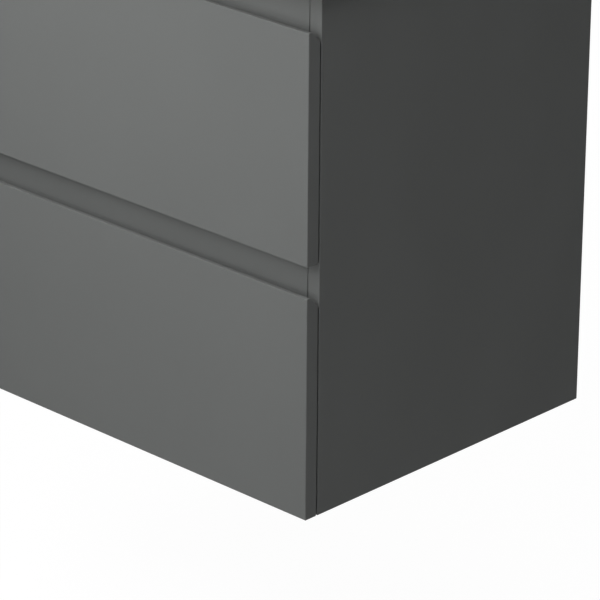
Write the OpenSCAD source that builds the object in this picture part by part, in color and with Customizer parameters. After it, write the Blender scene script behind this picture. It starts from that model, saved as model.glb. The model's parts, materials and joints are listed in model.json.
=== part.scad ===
// Wall-hung bathroom vanity: a cabinet with two handle-less drawers under a ceramic basin.
// X runs along the width, -Y is the front and +Z is up. Sizes are in millimetres.
// The origin is on the wall, at the centre of the four bolts that carry the cabinet.
// Inside the modules, heights are measured from the cabinet's underside and depths from the wall.

/* [Cabinet] */
// Outer width across the side panels
cabinet_w = 800; // [600:10:1000]
// Depth of the side panels from the wall to their front edges
carcass_d = 460; // [440:5:520]
// Thickness of the side panels, the bottom and the rails
panel_t = 18; // [16:1:22]
// How far a rail laps behind the edge of a front
rail_lap = 20; // [16:1:28]
// Open joint between a rail's end and the side panel
joint_gap = 0.8; // [0.4:0.1:0.9]
// Height of the top back rail
back_rail_h = 90; // [80:5:120]
// Height of the lower back rail
lower_rail_h = 80; // [70:5:110]

/* [Drawer fronts] */
// Height of each front
front_h = 275; // [260:5:320]
// Thickness of the fronts
front_t = 18; // [16:1:22]
// Gap between the backs of the fronts and the cabinet
front_gap = 2; // [1.5:0.5:4]
// Finger groove between the two fronts
groove_h = 38; // [30:1:50]
// Finger groove above the upper front
top_groove_h = 42; // [34:1:56]
// Flat land on a front's top edge, ahead of the bevel
land_w = 5; // [3:0.5:8]
// Diameter of the rubber buffers behind the fronts
buffer_d = 8; // [6:1:12]

/* [Drawer boxes] */
// Length of the drawer sides behind the front
box_d = 400; // [360:5:410]
// Height of the upper drawer's sides
upper_box_h = 110; // [100:5:140]
// Height of the lower drawer's sides
lower_box_h = 180; // [120:5:200]
// Space under each box
box_lift = 14; // [10:1:20]
// Thickness of the drawer sides and backs
box_t = 15; // [14:1:18]
// Thickness of the drawer bottoms
base_t = 8; // [5:1:10]
// Height of the bottom's groove above the side's lower edge
base_up = 10; // [8:1:14]
// Depth of the bottom's groove in the sides
base_in = 6; // [4:0.5:8]

/* [Trap cut-out] */
// Width of the cut-out for the drain trap
cutout_w = 200; // [160:10:260]
// Depth of the cut-out from the drawer's back
cutout_d = 170; // [120:10:220]
// Inner corner radius of the cut-out
cutout_r = 40; // [20:5:60]
// Wall of the cut-out's surround
surround_t = 12; // [8:1:16]

/* [Runners] */
// Length of each runner member
slide_len = 400; // [350:10:410]
// How far a drawer opens
travel = 400; // [300:10:400]
// Height of the cabinet member
slide_h = 45; // [42:0.5:47]
// Steel thickness of the members
slide_t = 1.2; // [1:0.1:1.4]
// Thickness of the ball cages
cage_t = 0.6; // [0.5:0.1:0.8]
// Diameter of the balls
ball_d = 3.8; // [3.4:0.2:4.2]
// Distance between balls in a row
ball_pitch = 22; // [12:1:40]
// Running gap between balls and races, and between members
slide_gap = 0.3; // [0.25:0.05:0.4]
// Height of the runner's middle above the box's lower edge
slide_up = 55; // [54:1:62]
// Setback of the runner from the cabinet's front edge
slide_back = 3; // [2:0.5:10]

/* [Wall fixing] */
// Distance between the wall bolts along the width
bolt_w = 520; // [400:10:560]
// Height of the lower bolts above the underside
lower_bolt_z = 58; // [45:1:70]
// Height of the wall rail's bolts below the cabinet's top
upper_bolt_drop = 58; // [56:1:64]
// Diameter of the bolt holes
bolt_d = 8.5; // [6:0.5:10]
// Steel thickness of the wall rail
rail_t = 2.5; // [2:0.5:3]
// Free space between the wall and the top back rail
rail_space = 20; // [16:1:30]
// Thickness of the hanger hooks
hook_t = 4; // [3:0.5:5]
// Width of the hanger housings
hanger_w = 16; // [14:1:20]
// Depth of the hanger housings
hanger_d = 58; // [50:1:70]

/* [Basin] */
// Overhang of the basin beyond each side panel
basin_side = 10; // [4:1:30]
// Overhang of the basin beyond the fronts
basin_front = 10; // [4:1:30]
// Thickness of the basin's edge
basin_h = 20; // [16:1:40]
// Corner radius of the basin
basin_r = 14; // [10:1:30]
// Width of the raised rim
rim_w = 12; // [8:1:20]
// Height of the raised rim above the deck
rim_h = 3; // [1:0.5:5]
// Length of the bowl at its mouth
bowl_w = 500; // [380:10:540]
// Width of the bowl at its mouth, front to back
bowl_d = 300; // [240:10:300]
// Setback of the bowl's mouth from the cabinet's front edge
bowl_setback = 42; // [36:1:60]
// Depth of the bowl below the deck
bowl_h = 105; // [80:5:120]
// Corner radius of the bowl at its mouth
bowl_r = 70; // [60:5:100]
// Thickness of the ceramic
wall_t = 12; // [9:1:14]
// Diameter of the tap hole
tap_d = 35; // [32:1:38]
// Setback of the tap hole from the top back rail
tap_gap = 4; // [3:1:8]
// Diameter of the drain hole
drain_d = 45; // [43:1:47]
// Diameter of the overflow hole
overflow_d = 22; // [18:1:26]

/* [Fittings] */
// Radius that eases the edges of the lacquered boards
edge_r = 1; // [0.5:0.25:2]
// Diameter of the dowels
dowel_d = 8; // [6:1:10]
// Length of the dowels
dowel_len = 30; // [25:1:35]
// Diameter of the connector cams
cam_d = 15; // [12:0.5:16]
// Diameter of the connector bolts
cam_bolt_d = 6; // [5:0.5:7]
// Screw shank diameter
screw_d = 4; // [3:0.5:5]
// Screw head diameter
screw_head_d = 8; // [7:0.5:9]
// Screw length under the head
screw_len = 12; // [8:1:13]
// Length of the screws that hold the drawer backs
back_screw_len = 30; // [25:1:40]

/* [Hidden] */
$fn = 48;

// Gaps: a sliding fit in a hole, an easy fit between boards, and a margin that cuts run past a face
fit = 0.05;
ease = 0.2;
cut = 1;

// Heights above the cabinet's underside
upper_front_z = front_h + groove_h;
cabinet_h = upper_front_z + front_h + top_groove_h;
upper_bolt_z = cabinet_h - upper_bolt_drop;
lower_box_z = panel_t + box_lift;
upper_box_z = upper_front_z + rail_lap + box_lift;

// Places across the width and along the depth
inner_x = cabinet_w / 2 - panel_t;
front_back_y = -(carcass_d + front_gap);
front_y = front_back_y - front_t;
box_back_y = front_back_y + box_d;
bevel = front_t - land_w;

// Runner section: u is measured from the side panel towards the drawer, v up from the runner's middle
ball_r = ball_d / 2;
race_r = ball_r + slide_gap;
slide_head_h = 0.85;
outer_cage_u = slide_t + slide_head_h + slide_gap;
middle_web_u = outer_cage_u + cage_t + slide_gap;
inner_cage_u = middle_web_u + slide_t + slide_gap;
cup_half = 1.3;
ball_u = inner_cage_u + cage_t + slide_gap + cup_half;
race_half = ball_r + 0.7;
slide_w = ball_u + race_r + slide_t + slide_gap + slide_head_h + slide_t;
outer_ball_v = slide_h / 2 - slide_t - race_r;
inner_ball_v = outer_ball_v - 2 * race_r - slide_t;
cup_v = inner_ball_v - sqrt(race_r * race_r - cup_half * cup_half);
inner_flange_v = inner_ball_v - race_r - slide_t;
curl_end = -20;
slide_front_y = -(carcass_d - slide_back);
cage_margin = 10;
cage_len = slide_len - travel / 2 - 2 * cage_margin;
balls = floor((cage_len - 2 * ball_d) / ball_pitch) + 1;
box_x = inner_x - slide_w;

// Screws of the runners, as distances from a member's front end
slide_screw_first = 37;
slide_screw_second = 165;
slide_screw_last = 75;
slide_screw_y = [slide_screw_first, slide_screw_second, slide_len - slide_screw_last];
drawer_screw_first = 60;
drawer_screw_second = 200;
drawer_screw_last = 40;
drawer_screw_y = [drawer_screw_first, drawer_screw_second, slide_len - drawer_screw_last];

// Front brackets
bracket_t = 2;
bracket_leg = 26;
bracket_h = 60;
bracket_up = 8;
bracket_hole = 16;
bracket_screw_z = [15, 45];
back_screw_in = 6;
buffer_in = 25;

// Dowels and connectors: places on the end of a board as [depth, height]
front_rail_z = cabinet_h - top_groove_h - rail_lap;
front_rail_h = top_groove_h + rail_lap;
middle_rail_z = front_h - rail_lap;
middle_rail_h = groove_h + 2 * rail_lap;
rail_mid_y = -(carcass_d - panel_t / 2);
back_rail_mid_y = -(rail_space + panel_t / 2);
back_rail_z = cabinet_h - back_rail_h;
end_in = 14;
bottom_dowel_in = 60;
bottom_cam_in = 95;
bottom_dowels = [for (y = [bottom_dowel_in, carcass_d / 2, carcass_d - bottom_dowel_in]) [-y, panel_t / 2]];
front_rail_dowels = [for (z = [end_in, front_rail_h - end_in]) [rail_mid_y, front_rail_z + z]];
middle_rail_dowels = [for (z = [end_in, middle_rail_h - end_in]) [rail_mid_y, middle_rail_z + z]];
notch_gap = 6;
notch_w = hanger_w + notch_gap;
notch_h = 34;
back_dowel_in = 11;
back_rail_dowels = [for (z = [back_dowel_in, back_rail_h - notch_h - back_dowel_in])
    [back_rail_mid_y, back_rail_z + z]];
lower_rail_dowels = [for (z = [end_in, lower_rail_h - end_in]) [-panel_t / 2, panel_t + z]];
dowel_sets = [bottom_dowels, front_rail_dowels, middle_rail_dowels, back_rail_dowels, lower_rail_dowels];
bottom_cams = [for (y = [bottom_cam_in, carcass_d - bottom_cam_in]) [-y, panel_t / 2]];
front_rail_cam = [rail_mid_y, front_rail_z + front_rail_h / 2];
middle_rail_cam = [rail_mid_y, middle_rail_z + middle_rail_h / 2];
back_rail_cam = [back_rail_mid_y, back_rail_z + (back_rail_h - notch_h) / 2];
lower_rail_cam = [-panel_t / 2, panel_t + lower_rail_h / 2];
rail_cams = [front_rail_cam, middle_rail_cam, back_rail_cam, lower_rail_cam];
dowel_in_side = 10;
cam_bolt_in_side = 11;
cam_in = 34;
cam_h = 12.5;

// Wall rail and hooks
rail_end_gap = 10;
rail_hole_up = 17;
rail_plate_h = 35;
rail_z = upper_bolt_z - rail_hole_up;
lip_gap = 6;
lip_h = 14;
lip_top_z = rail_z + rail_plate_h + lip_h;
hook_seat = 0.3;
hook_h = 8;
hook_tooth_h = 10;
hook_x = inner_x - hanger_w / 2;
hanger_h = 52;
hanger_top = 6;
hanger_z = lip_top_z + hook_seat + hook_h + hanger_top - hanger_h;
hanger_front_y = -(rail_space + panel_t + ease + hanger_d);
hanger_peg_d = 10;
hanger_peg_len = 10;
hanger_pegs = [[16, 14], [42, 14], [42, 38]];
hook_front_in = 12;
hook_front_y = hanger_front_y + hook_front_in;
adjuster_d = 6;
adjuster_len = 10;
adjuster_head_h = 2;
adjuster_head_d = 9;
adjuster_first = 12;
adjuster_second = 30;
adjuster_z = [hanger_z + adjuster_first, hanger_z + adjuster_second];

// Basin
basin_w = cabinet_w + 2 * basin_side;
basin_front_y = front_y - basin_front;
basin_d = -basin_front_y;
deck_z = cabinet_h + basin_h - rim_h;
bowl_front_y = -(carcass_d - bowl_setback);
bowl_mid_y = bowl_front_y + bowl_d / 2;
bowl_back_y = bowl_front_y + bowl_d;
bowl_draft = 8;
bowl_fillet = 30;
bowl_floor_z = deck_z - bowl_h;
drain_seat_w = 10;
drain_seat_d = drain_d + 2 * drain_seat_w;
drain_seat_h = 3;
tap_y = -(rail_space + panel_t + tap_gap + tap_d / 2);
overflow_drop = 34;
overflow_z = deck_z - overflow_drop;
duct_w = 46;
duct_t = 16;
duct_bore_d = 8;
duct_wall = 4;
duct_z = bowl_floor_z + bowl_fillet / 3;
drain_boss_h = 8;
drain_boss_z = bowl_floor_z - wall_t - drain_boss_h;

// ---- helpers ----

// Moves a piece from the cabinet's underside to the bolt pattern's centre
module hung() {
    translate([0, 0, -(lower_bolt_z + upper_bolt_z) / 2]) children();
}

// Draws a right-hand piece, or its mirror image for the left
module on_side(side) {
    mirror([side > 0 ? 0 : 1, 0, 0]) children();
}

// Box from one corner to the opposite one
module block(low, high) {
    translate(low) cube(high - low);
}

// Rectangle with rounded corners, centred
module round_rect(w, h, r) {
    square([w - 2 * r, h], center = true);
    square([w, h - 2 * r], center = true);
    for (x = [-1, 1], y = [-1, 1])
        translate([x * (w / 2 - r), y * (h / 2 - r)]) circle(r);
}

// Lacquered board from one corner to the opposite one, with every edge eased
module board(low, high) {
    size = high - low;
    translate((low + high) / 2) intersection() {
        linear_extrude(size[2], center = true) round_rect(size[0], size[1], edge_r);
        rotate([90, 0, 0]) linear_extrude(size[1], center = true) round_rect(size[0], size[2], edge_r);
        rotate([90, 0, 90]) linear_extrude(size[0], center = true) round_rect(size[1], size[2], edge_r);
    }
}

// Cylinder along X from a start point, towards +X
module rod_x(start, d, len) {
    translate(start) rotate([0, 90, 0]) cylinder(d = d, h = len);
}

// Cylinder along Y from a start point, towards +Y
module rod_y(start, d, len) {
    translate(start) rotate([-90, 0, 0]) cylinder(d = d, h = len);
}

// Screw standing on the plane z = 0, with its shank below and a cross recess on top
module screw(head_h = 1.6, len = screw_len) {
    difference() {
        union() {
            cylinder(d = screw_head_d, h = head_h);
            translate([0, 0, -len]) cylinder(d = screw_d, h = len + head_h / 2);
        }
        for (a = [0, 90])
            rotate(a) translate([0, 0, head_h]) cube([screw_head_d * 0.55, 0.9, head_h], center = true);
    }
}

// Pilot hole below the plane z = 0 for a screw that holds a plate of thickness plate_t
module pilot(plate_t, len = screw_len) {
    depth = len - plate_t + 0.5;
    translate([0, 0, -depth]) cylinder(d = screw_d + 2 * fit, h = depth + cut);
}

// Turns a screw so that its head looks along -Y
module facing_front() {
    rotate([90, 0, 0]) children();
}

// Turns a screw so that its head looks along +Y
module facing_back() {
    rotate([-90, 0, 0]) children();
}

// Turns a screw so that its head looks along -X
module facing_left() {
    rotate([0, -90, 0]) children();
}

// Turns a screw so that its head looks along +X
module facing_right() {
    rotate([0, 90, 0]) children();
}

// Solid with a rounded rectangular plan, whose wall follows a profile of
// [distance from the corner's centre, height]: a core, four straight walls and four quarter turns
module tray(w, d, r, profile) {
    straight_x = w - 2 * r;
    straight_y = d - 2 * r;
    top = max([for (p = profile) p[1]]);
    low = min([for (p = profile) p[1]]);
    translate([-straight_x / 2, -straight_y / 2, low]) cube([straight_x, straight_y, top - low]);
    for (q = [0:3]) {
        len = q % 2 == 0 ? straight_y : straight_x;
        out = q % 2 == 0 ? straight_x / 2 : straight_y / 2;
        rotate(q * 90) {
            translate([out, 0, 0]) rotate([90, 0, 0]) linear_extrude(len, center = true) polygon(profile);
            translate([out, len / 2, 0]) rotate_extrude(angle = 90) polygon(profile);
        }
    }
}

// Points of a quarter round, from angle a to angle b
function arc(cx, cz, r, a, b, n = 6) =
    [for (i = [0:n]) let (t = a + (b - a) * i / n) [cx + r * cos(t), cz + r * sin(t)]];

// ---- carcass ----

// Holes for dowels and connector bolts in the end of a board, which starts at x = 0 and runs to -X
module end_holes(dowels, cams) {
    for (p = dowels)
        rod_x([-(dowel_len - dowel_in_side) - joint_gap, p[0], p[1]], dowel_d + 2 * fit, dowel_len + cut);
    for (p = cams)
        rod_x([-cam_in, p[0], p[1]], cam_bolt_d + 2 * fit, cam_in + cut);
}

// Board between the side panels, with dowel and connector holes in both ends
module cross_board(low_y, high_y, low_z, high_z, dowels, cams, end_gap) {
    x = inner_x - end_gap;
    difference() {
        board([-x, low_y, low_z], [x, high_y, high_z]);
        for (side = [-1, 1]) on_side(side) translate([inner_x, 0, 0]) end_holes(dowels, cams);
    }
}

// Cuts the round pocket of a cam into the back face of a rail
module rail_cam_pockets(cam, back_y) {
    for (side = [-1, 1]) on_side(side)
        rod_y([inner_x - cam_in, back_y - cam_h, cam[1]], cam_d + 2 * fit, cam_h + cut);
}

// Places a cam disc in its pocket, with its slotted face at the back of a rail
module at_rail_cam(cam, back_y) {
    for (side = [-1, 1]) on_side(side)
        translate([inner_x - cam_in, back_y, cam[1]]) rotate([-90, 0, 0]) children();
}

module side_panel(side) {
    color([0.40, 0.41, 0.40]) hung() on_side(side) difference() {
        board([inner_x, -carcass_d, 0], [inner_x + panel_t, 0, cabinet_h]);
        for (set = dowel_sets, p = set)
            rod_x([inner_x - cut, p[0], p[1]], dowel_d + 2 * fit, dowel_in_side + cut + ease);
        for (p = concat(bottom_cams, rail_cams))
            rod_x([inner_x - cut, p[0], p[1]], cam_bolt_d + 2 * fit, cam_bolt_in_side + cut + ease);
        for (z = [lower_box_z, upper_box_z], y = slide_screw_y)
            translate([inner_x, slide_front_y + y, z + slide_up]) facing_left() pilot(slide_t);
        for (p = hanger_pegs)
            rod_x([inner_x - cut, hanger_front_y + p[0], hanger_z + p[1]], hanger_peg_d + 2 * fit,
                hanger_peg_len + cut + ease);
    }
}

module bottom_panel() {
    color([0.42, 0.43, 0.42]) hung() difference() {
        cross_board(-carcass_d, 0, 0, panel_t, bottom_dowels, bottom_cams, ease);
        for (side = [-1, 1], p = bottom_cams) on_side(side)
            translate([inner_x - cam_in, p[0], panel_t - cam_h])
                cylinder(d = cam_d + 2 * fit, h = cam_h + cut);
    }
}

module top_front_rail() {
    color([0.38, 0.39, 0.38]) hung() difference() {
        cross_board(-carcass_d, -carcass_d + panel_t, front_rail_z, cabinet_h,
            front_rail_dowels, [front_rail_cam], joint_gap);
        rail_cam_pockets(front_rail_cam, -carcass_d + panel_t);
    }
}

module middle_rail() {
    color([0.38, 0.39, 0.38]) hung() difference() {
        cross_board(-carcass_d, -carcass_d + panel_t, middle_rail_z, middle_rail_z + middle_rail_h,
            middle_rail_dowels, [middle_rail_cam], joint_gap);
        rail_cam_pockets(middle_rail_cam, -carcass_d + panel_t);
    }
}

module top_back_rail() {
    color([0.78, 0.77, 0.74]) hung() difference() {
        cross_board(-(rail_space + panel_t), -rail_space, back_rail_z, cabinet_h,
            back_rail_dowels, [back_rail_cam], ease);
        rail_cam_pockets(back_rail_cam, -rail_space);
        for (side = [-1, 1]) on_side(side)
            block([inner_x - notch_w, -(rail_space + panel_t + cut), cabinet_h - notch_h],
                [inner_x + cut, -rail_space + cut, cabinet_h + cut]);
    }
}

module lower_back_rail() {
    color([0.78, 0.77, 0.74]) hung() difference() {
        cross_board(-panel_t, 0, panel_t, panel_t + lower_rail_h, lower_rail_dowels,
            [lower_rail_cam], ease);
        rail_cam_pockets(lower_rail_cam, 0);
        for (x = [-bolt_w / 2, bolt_w / 2])
            rod_y([x, -panel_t - cut, lower_bolt_z], bolt_d, panel_t + 2 * cut);
    }
}

module dowels() {
    color([0.80, 0.66, 0.46]) hung()
        for (side = [-1, 1], set = dowel_sets, p = set) on_side(side)
            rod_x([inner_x + dowel_in_side - dowel_len, p[0], p[1]], dowel_d, dowel_len);
}

// Round cam with a cross slot on its face, and a bore for the bolt; its face is at z = 0
module cam_disc(bolt_depth) {
    difference() {
        translate([0, 0, -cam_h + ease]) cylinder(d = cam_d, h = cam_h - ease);
        translate([0, 0, -bolt_depth]) rotate([0, 90, 0]) cylinder(d = cam_bolt_d + 1, h = cam_d);
        for (a = [0, 90]) rotate(a) cube([cam_d * 0.5, 1.4, 3], center = true);
    }
}

module cam_discs() {
    color([0.72, 0.72, 0.73]) hung() {
        at_rail_cam(front_rail_cam, -carcass_d + panel_t) cam_disc(panel_t / 2);
        at_rail_cam(middle_rail_cam, -carcass_d + panel_t) cam_disc(panel_t / 2);
        at_rail_cam(back_rail_cam, -rail_space) cam_disc(panel_t / 2);
        at_rail_cam(lower_rail_cam, 0) cam_disc(panel_t / 2);
        for (side = [-1, 1], p = bottom_cams) on_side(side)
            translate([inner_x - cam_in, p[0], panel_t]) cam_disc(panel_t / 2);
    }
}

module cam_bolts() {
    color([0.75, 0.75, 0.76]) hung()
        for (side = [-1, 1], p = concat(bottom_cams, rail_cams)) on_side(side)
            rod_x([inner_x - cam_in, p[0], p[1]], cam_bolt_d, cam_in + cam_bolt_in_side);
}

// ---- wall fixing ----

module wall_rail() {
    half = inner_x - rail_end_gap;
    lip_y = -(rail_t + lip_gap);
    color([0.70, 0.71, 0.72]) hung() difference() {
        translate([-half, 0, rail_z]) rotate([90, 0, 90]) linear_extrude(2 * half)
            polygon([
                [0, 0], [0, rail_plate_h],
                [lip_y + rail_t, rail_plate_h], [lip_y + rail_t, rail_plate_h + lip_h],
                [lip_y, rail_plate_h + lip_h], [lip_y, rail_plate_h - rail_t],
                [-rail_t, rail_plate_h - rail_t], [-rail_t, 0]
            ]);
        for (x = [-bolt_w / 2, bolt_w / 2])
            rod_y([x, -rail_t - cut, upper_bolt_z], bolt_d, rail_t + 2 * cut);
    }
}

// Outline of the hook's arm in [depth, height], with the tooth that drops behind the rail's lip
function hook_outline() =
    let (
        low_z = lip_top_z + hook_seat,
        top_z = low_z + hook_h,
        tooth_y = -lip_gap + hook_seat,
        tip_y = -hook_seat,
        nose = 3
    )
    [
        [hook_front_y, low_z], [tooth_y, low_z],
        [tooth_y, low_z - hook_tooth_h], [tip_y, low_z - hook_tooth_h],
        [tip_y, top_z - nose], [tip_y - nose, top_z], [hook_front_y, top_z]
    ];

module hook(side) {
    color([0.66, 0.67, 0.69]) hung() on_side(side)
        translate([hook_x - hook_t / 2, 0, 0]) rotate([90, 0, 90])
            linear_extrude(hook_t) polygon(hook_outline());
}

module hanger(side) {
    back_y = -(rail_space + panel_t + ease);
    arm_z = lip_top_z + hook_seat;
    color([0.86, 0.86, 0.85]) hung() on_side(side) difference() {
        union() {
            block([inner_x - hanger_w, hanger_front_y, hanger_z], [inner_x, back_y, hanger_z + hanger_h]);
            for (p = hanger_pegs)
                rod_x([inner_x - cut, hanger_front_y + p[0], hanger_z + p[1]], hanger_peg_d,
                    hanger_peg_len + cut);
        }
        block([hook_x - hook_t / 2 - ease, hook_front_y - ease, arm_z - ease],
            [hook_x + hook_t / 2 + ease, back_y + cut, arm_z + hook_h + ease]);
        for (z = adjuster_z)
            rod_y([hook_x, hanger_front_y - cut, z], adjuster_d + 2 * fit, adjuster_len + ease + cut);
    }
}

module hanger_screws() {
    color([0.72, 0.72, 0.73]) hung()
        for (side = [-1, 1], z = adjuster_z) on_side(side)
            translate([hook_x, hanger_front_y, z]) facing_front() difference() {
                union() {
                    translate([0, 0, -adjuster_len])
                        cylinder(d = adjuster_d, h = adjuster_len + adjuster_head_h / 2);
                    cylinder(d = adjuster_head_d, h = adjuster_head_h);
                }
                for (a = [0, 90]) rotate(a) translate([0, 0, adjuster_head_h])
                    cube([adjuster_head_d * 0.6, 1.2, adjuster_head_h], center = true);
            }
}

// ---- basin ----

// Wall profile of the bowl, grown outwards by a thickness
function bowl_profile(grow, top_z) =
    let (
        floor_z = bowl_floor_z - grow,
        fillet = bowl_fillet + grow,
        foot_r = bowl_r + grow - bowl_draft
    )
    concat(
        [[0, floor_z]],
        arc(foot_r - fillet, floor_z + fillet, fillet, -90, 0),
        [[bowl_r + grow, top_z], [0, top_z]]
    );

// Depth of the bowl's back wall at a height: above the fillet it leans out to the mouth
function bowl_wall_y(z) =
    let (
        mouth_z = deck_z + rim_h,
        fillet_top = bowl_floor_z + bowl_fillet
    )
    bowl_back_y - bowl_draft * (mouth_z - z) / (mouth_z - fillet_top);

module basin() {
    slab = [
        [0, cabinet_h], [basin_r - 2, cabinet_h], [basin_r, cabinet_h + 2],
        each arc(basin_r - 4, cabinet_h + basin_h - 4, 4, 0, 90, 4), [0, cabinet_h + basin_h]
    ];
    dish = [
        [0, deck_z], each arc(basin_r - rim_h, deck_z + rim_h, rim_h, -90, 0, 3),
        [basin_r, cabinet_h + basin_h + cut], [0, cabinet_h + basin_h + cut]
    ];
    color([0.95, 0.95, 0.94]) hung() difference() {
        union() {
            translate([0, -basin_d / 2, 0]) tray(basin_w, basin_d, basin_r, slab);
            translate([0, bowl_mid_y, 0])
                tray(bowl_w + 2 * wall_t, bowl_d + 2 * wall_t, bowl_r + wall_t,
                    bowl_profile(wall_t, cabinet_h + cut));
            block([-duct_w / 2, bowl_back_y, duct_z], [duct_w / 2, bowl_back_y + duct_t, cabinet_h + cut]);
            translate([0, bowl_mid_y, drain_boss_z]) cylinder(d = drain_d + 2 * wall_t, h = wall_t);
        }
        translate([0, -basin_d / 2, 0]) tray(basin_w - 2 * rim_w, basin_d - 2 * rim_w, basin_r, dish);
        translate([0, bowl_mid_y, 0]) tray(bowl_w, bowl_d, bowl_r, bowl_profile(0, deck_z + rim_h));
        translate([0, tap_y, cabinet_h - cut]) cylinder(d = tap_d, h = basin_h + 2 * cut);
        translate([0, bowl_mid_y, drain_boss_z - cut])
            cylinder(d = drain_d, h = bowl_floor_z - drain_boss_z + 2 * cut);
        translate([0, bowl_mid_y, bowl_floor_z - drain_seat_h])
            cylinder(d = drain_seat_d, h = drain_seat_h + cut);
        rod_y([0, bowl_back_y - 2 * bowl_draft, overflow_z], overflow_d,
            2 * bowl_draft + duct_t / 2 + duct_bore_d / 4);
        translate([0, bowl_back_y + duct_t / 2, duct_z + duct_wall])
            cylinder(d = duct_bore_d, h = overflow_z - duct_z - duct_wall);
    }
}

// ---- runners ----

// Curl of the cabinet member that holds the balls in, around their centre
module race_curl() {
    reach = 2 * race_r + 2 * slide_t;
    intersection() {
        difference() {
            circle(race_r + slide_t);
            circle(race_r);
        }
        polygon([[0, 0], [reach * cos(curl_end), reach * sin(curl_end)], [reach, reach], [0, reach]]);
    }
}

module cabinet_slide_profile() {
    translate([0, -slide_h / 2]) square([slide_t, slide_h]);
    for (m = [0, 1]) mirror([0, m]) {
        translate([0, slide_h / 2 - slide_t]) square([ball_u, slide_t]);
        translate([ball_u, outer_ball_v]) race_curl();
    }
}

module middle_slide_profile() {
    top_v = outer_ball_v + (race_r + slide_t) * sin(curl_end) - slide_gap;
    low_v = inner_ball_v + cage_t / 2 + slide_gap;
    flange_w = ball_u + race_half - middle_web_u;
    difference() {
        union() {
            translate([middle_web_u, -low_v]) square([slide_t, 2 * low_v]);
            for (v = [low_v, -top_v]) translate([middle_web_u, v]) square([flange_w, top_v - low_v]);
        }
        for (v = [-outer_ball_v, -inner_ball_v, inner_ball_v, outer_ball_v])
            translate([ball_u, v]) circle(race_r);
    }
}

module drawer_slide_profile() {
    flange_u = ball_u - cup_half;
    translate([slide_w - slide_t, -inner_flange_v]) square([slide_t, 2 * inner_flange_v]);
    for (m = [0, 1]) mirror([0, m]) difference() {
        union() {
            translate([flange_u, inner_flange_v]) square([slide_w - flange_u, slide_t]);
            translate([flange_u, inner_flange_v]) square([2 * cup_half, cup_v - inner_flange_v]);
        }
        translate([ball_u, inner_ball_v]) circle(race_r);
    }
}

// Cage strip with its two tabs, which the balls sit in
module cage_profile(u, v) {
    translate([u, -v - cage_t / 2]) square([cage_t, 2 * v + cage_t]);
    for (m = [0, 1]) mirror([0, m])
        translate([u, v - cage_t / 2]) square([ball_u + 1 - u, cage_t]);
}

// Right-hand runner piece: draws a profile on the side panel, at the height of a drawer box
module along_slide(side, box_z, start, len) {
    hung() on_side(side) translate([inner_x, start + len, box_z + slide_up]) mirror([1, 0, 0])
        rotate([90, 0, 0]) linear_extrude(len) children();
}

module cabinet_slide(side, box_z) {
    color([0.70, 0.71, 0.72]) difference() {
        along_slide(side, box_z, slide_front_y, slide_len) cabinet_slide_profile();
        hung() on_side(side) for (y = slide_screw_y)
            rod_x([inner_x - slide_t - cut, slide_front_y + y, box_z + slide_up], screw_d + 2 * ease,
                slide_t + 2 * cut);
    }
}

module middle_slide(side, box_z) {
    color([0.74, 0.75, 0.76])
        along_slide(side, box_z, slide_front_y, slide_len) middle_slide_profile();
}

module drawer_slide(side, box_z) {
    color([0.70, 0.71, 0.72]) difference() {
        along_slide(side, box_z, slide_front_y, slide_len) drawer_slide_profile();
        hung() on_side(side) for (y = drawer_screw_y)
            rod_x([box_x - cut, slide_front_y + y, box_z + slide_up], screw_d + 2 * ease,
                slide_t + 2 * cut);
    }
}

module ball_cage(side, box_z, u, v) {
    mid_y = slide_front_y + slide_len / 2;
    color([0.80, 0.80, 0.78]) {
        along_slide(side, box_z, mid_y - cage_len / 2, cage_len) cage_profile(u, v);
        hung() on_side(side) translate([inner_x - ball_u, mid_y, box_z + slide_up])
            for (i = [0:balls - 1], m = [-1, 1])
                translate([0, (i - (balls - 1) / 2) * ball_pitch, m * v]) rotate([90, 0, 0])
                    sphere(r = ball_r);
    }
}

module slide_screws() {
    color([0.72, 0.72, 0.73]) hung()
        for (side = [-1, 1], z = [lower_box_z, upper_box_z], y = slide_screw_y) on_side(side)
            translate([inner_x - slide_t, slide_front_y + y, z + slide_up])
                facing_left() screw(slide_head_h);
}

// ---- drawers ----

// Front in place at a height: a board whose top edge is bevelled behind a flat land,
// with pilot holes for its brackets
module drawer_front(z, box_z) {
    outline = [
        [-cut, -cut], [front_t + cut, -cut], [front_t + cut, front_h - bevel - cut],
        [land_w - cut, front_h + cut], [-cut, front_h + cut]
    ];
    color([0.42, 0.43, 0.42]) hung() difference() {
        intersection() {
            board([-cabinet_w / 2, front_y, z], [cabinet_w / 2, front_back_y, z + front_h]);
            translate([-cabinet_w / 2, front_y, z]) rotate([90, 0, 90])
                linear_extrude(cabinet_w) polygon(outline);
        }
        at_front_screws(box_z, 0) pilot(bracket_t);
    }
}

// Height of the brackets of a box
function bracket_z(box_z) = box_z + base_up + base_t + bracket_up;

// Places of the screws that hold the brackets to the front, on a plane lift behind it
module at_front_screws(box_z, lift) {
    for (side = [-1, 1], s = bracket_screw_z) on_side(side)
        translate([box_x - box_t - bracket_hole, front_back_y + lift, bracket_z(box_z) + s])
            facing_back() children();
}

// Places of the screws that hold a bracket to the right-hand side, on a plane lift inside it
module at_side_screws(box_z, lift) {
    for (s = bracket_screw_z)
        translate([box_x - box_t - lift, front_back_y + bracket_hole, bracket_z(box_z) + s])
            facing_left() children();
}

// Places of the screws through the right-hand side into the drawer's back
module at_back_screws(box_z, box_h) {
    for (up = [base_up + base_t + back_screw_in, box_h - 2 * back_screw_in])
        translate([box_x, box_back_y - box_t / 2, box_z + up]) facing_right() children();
}

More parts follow.
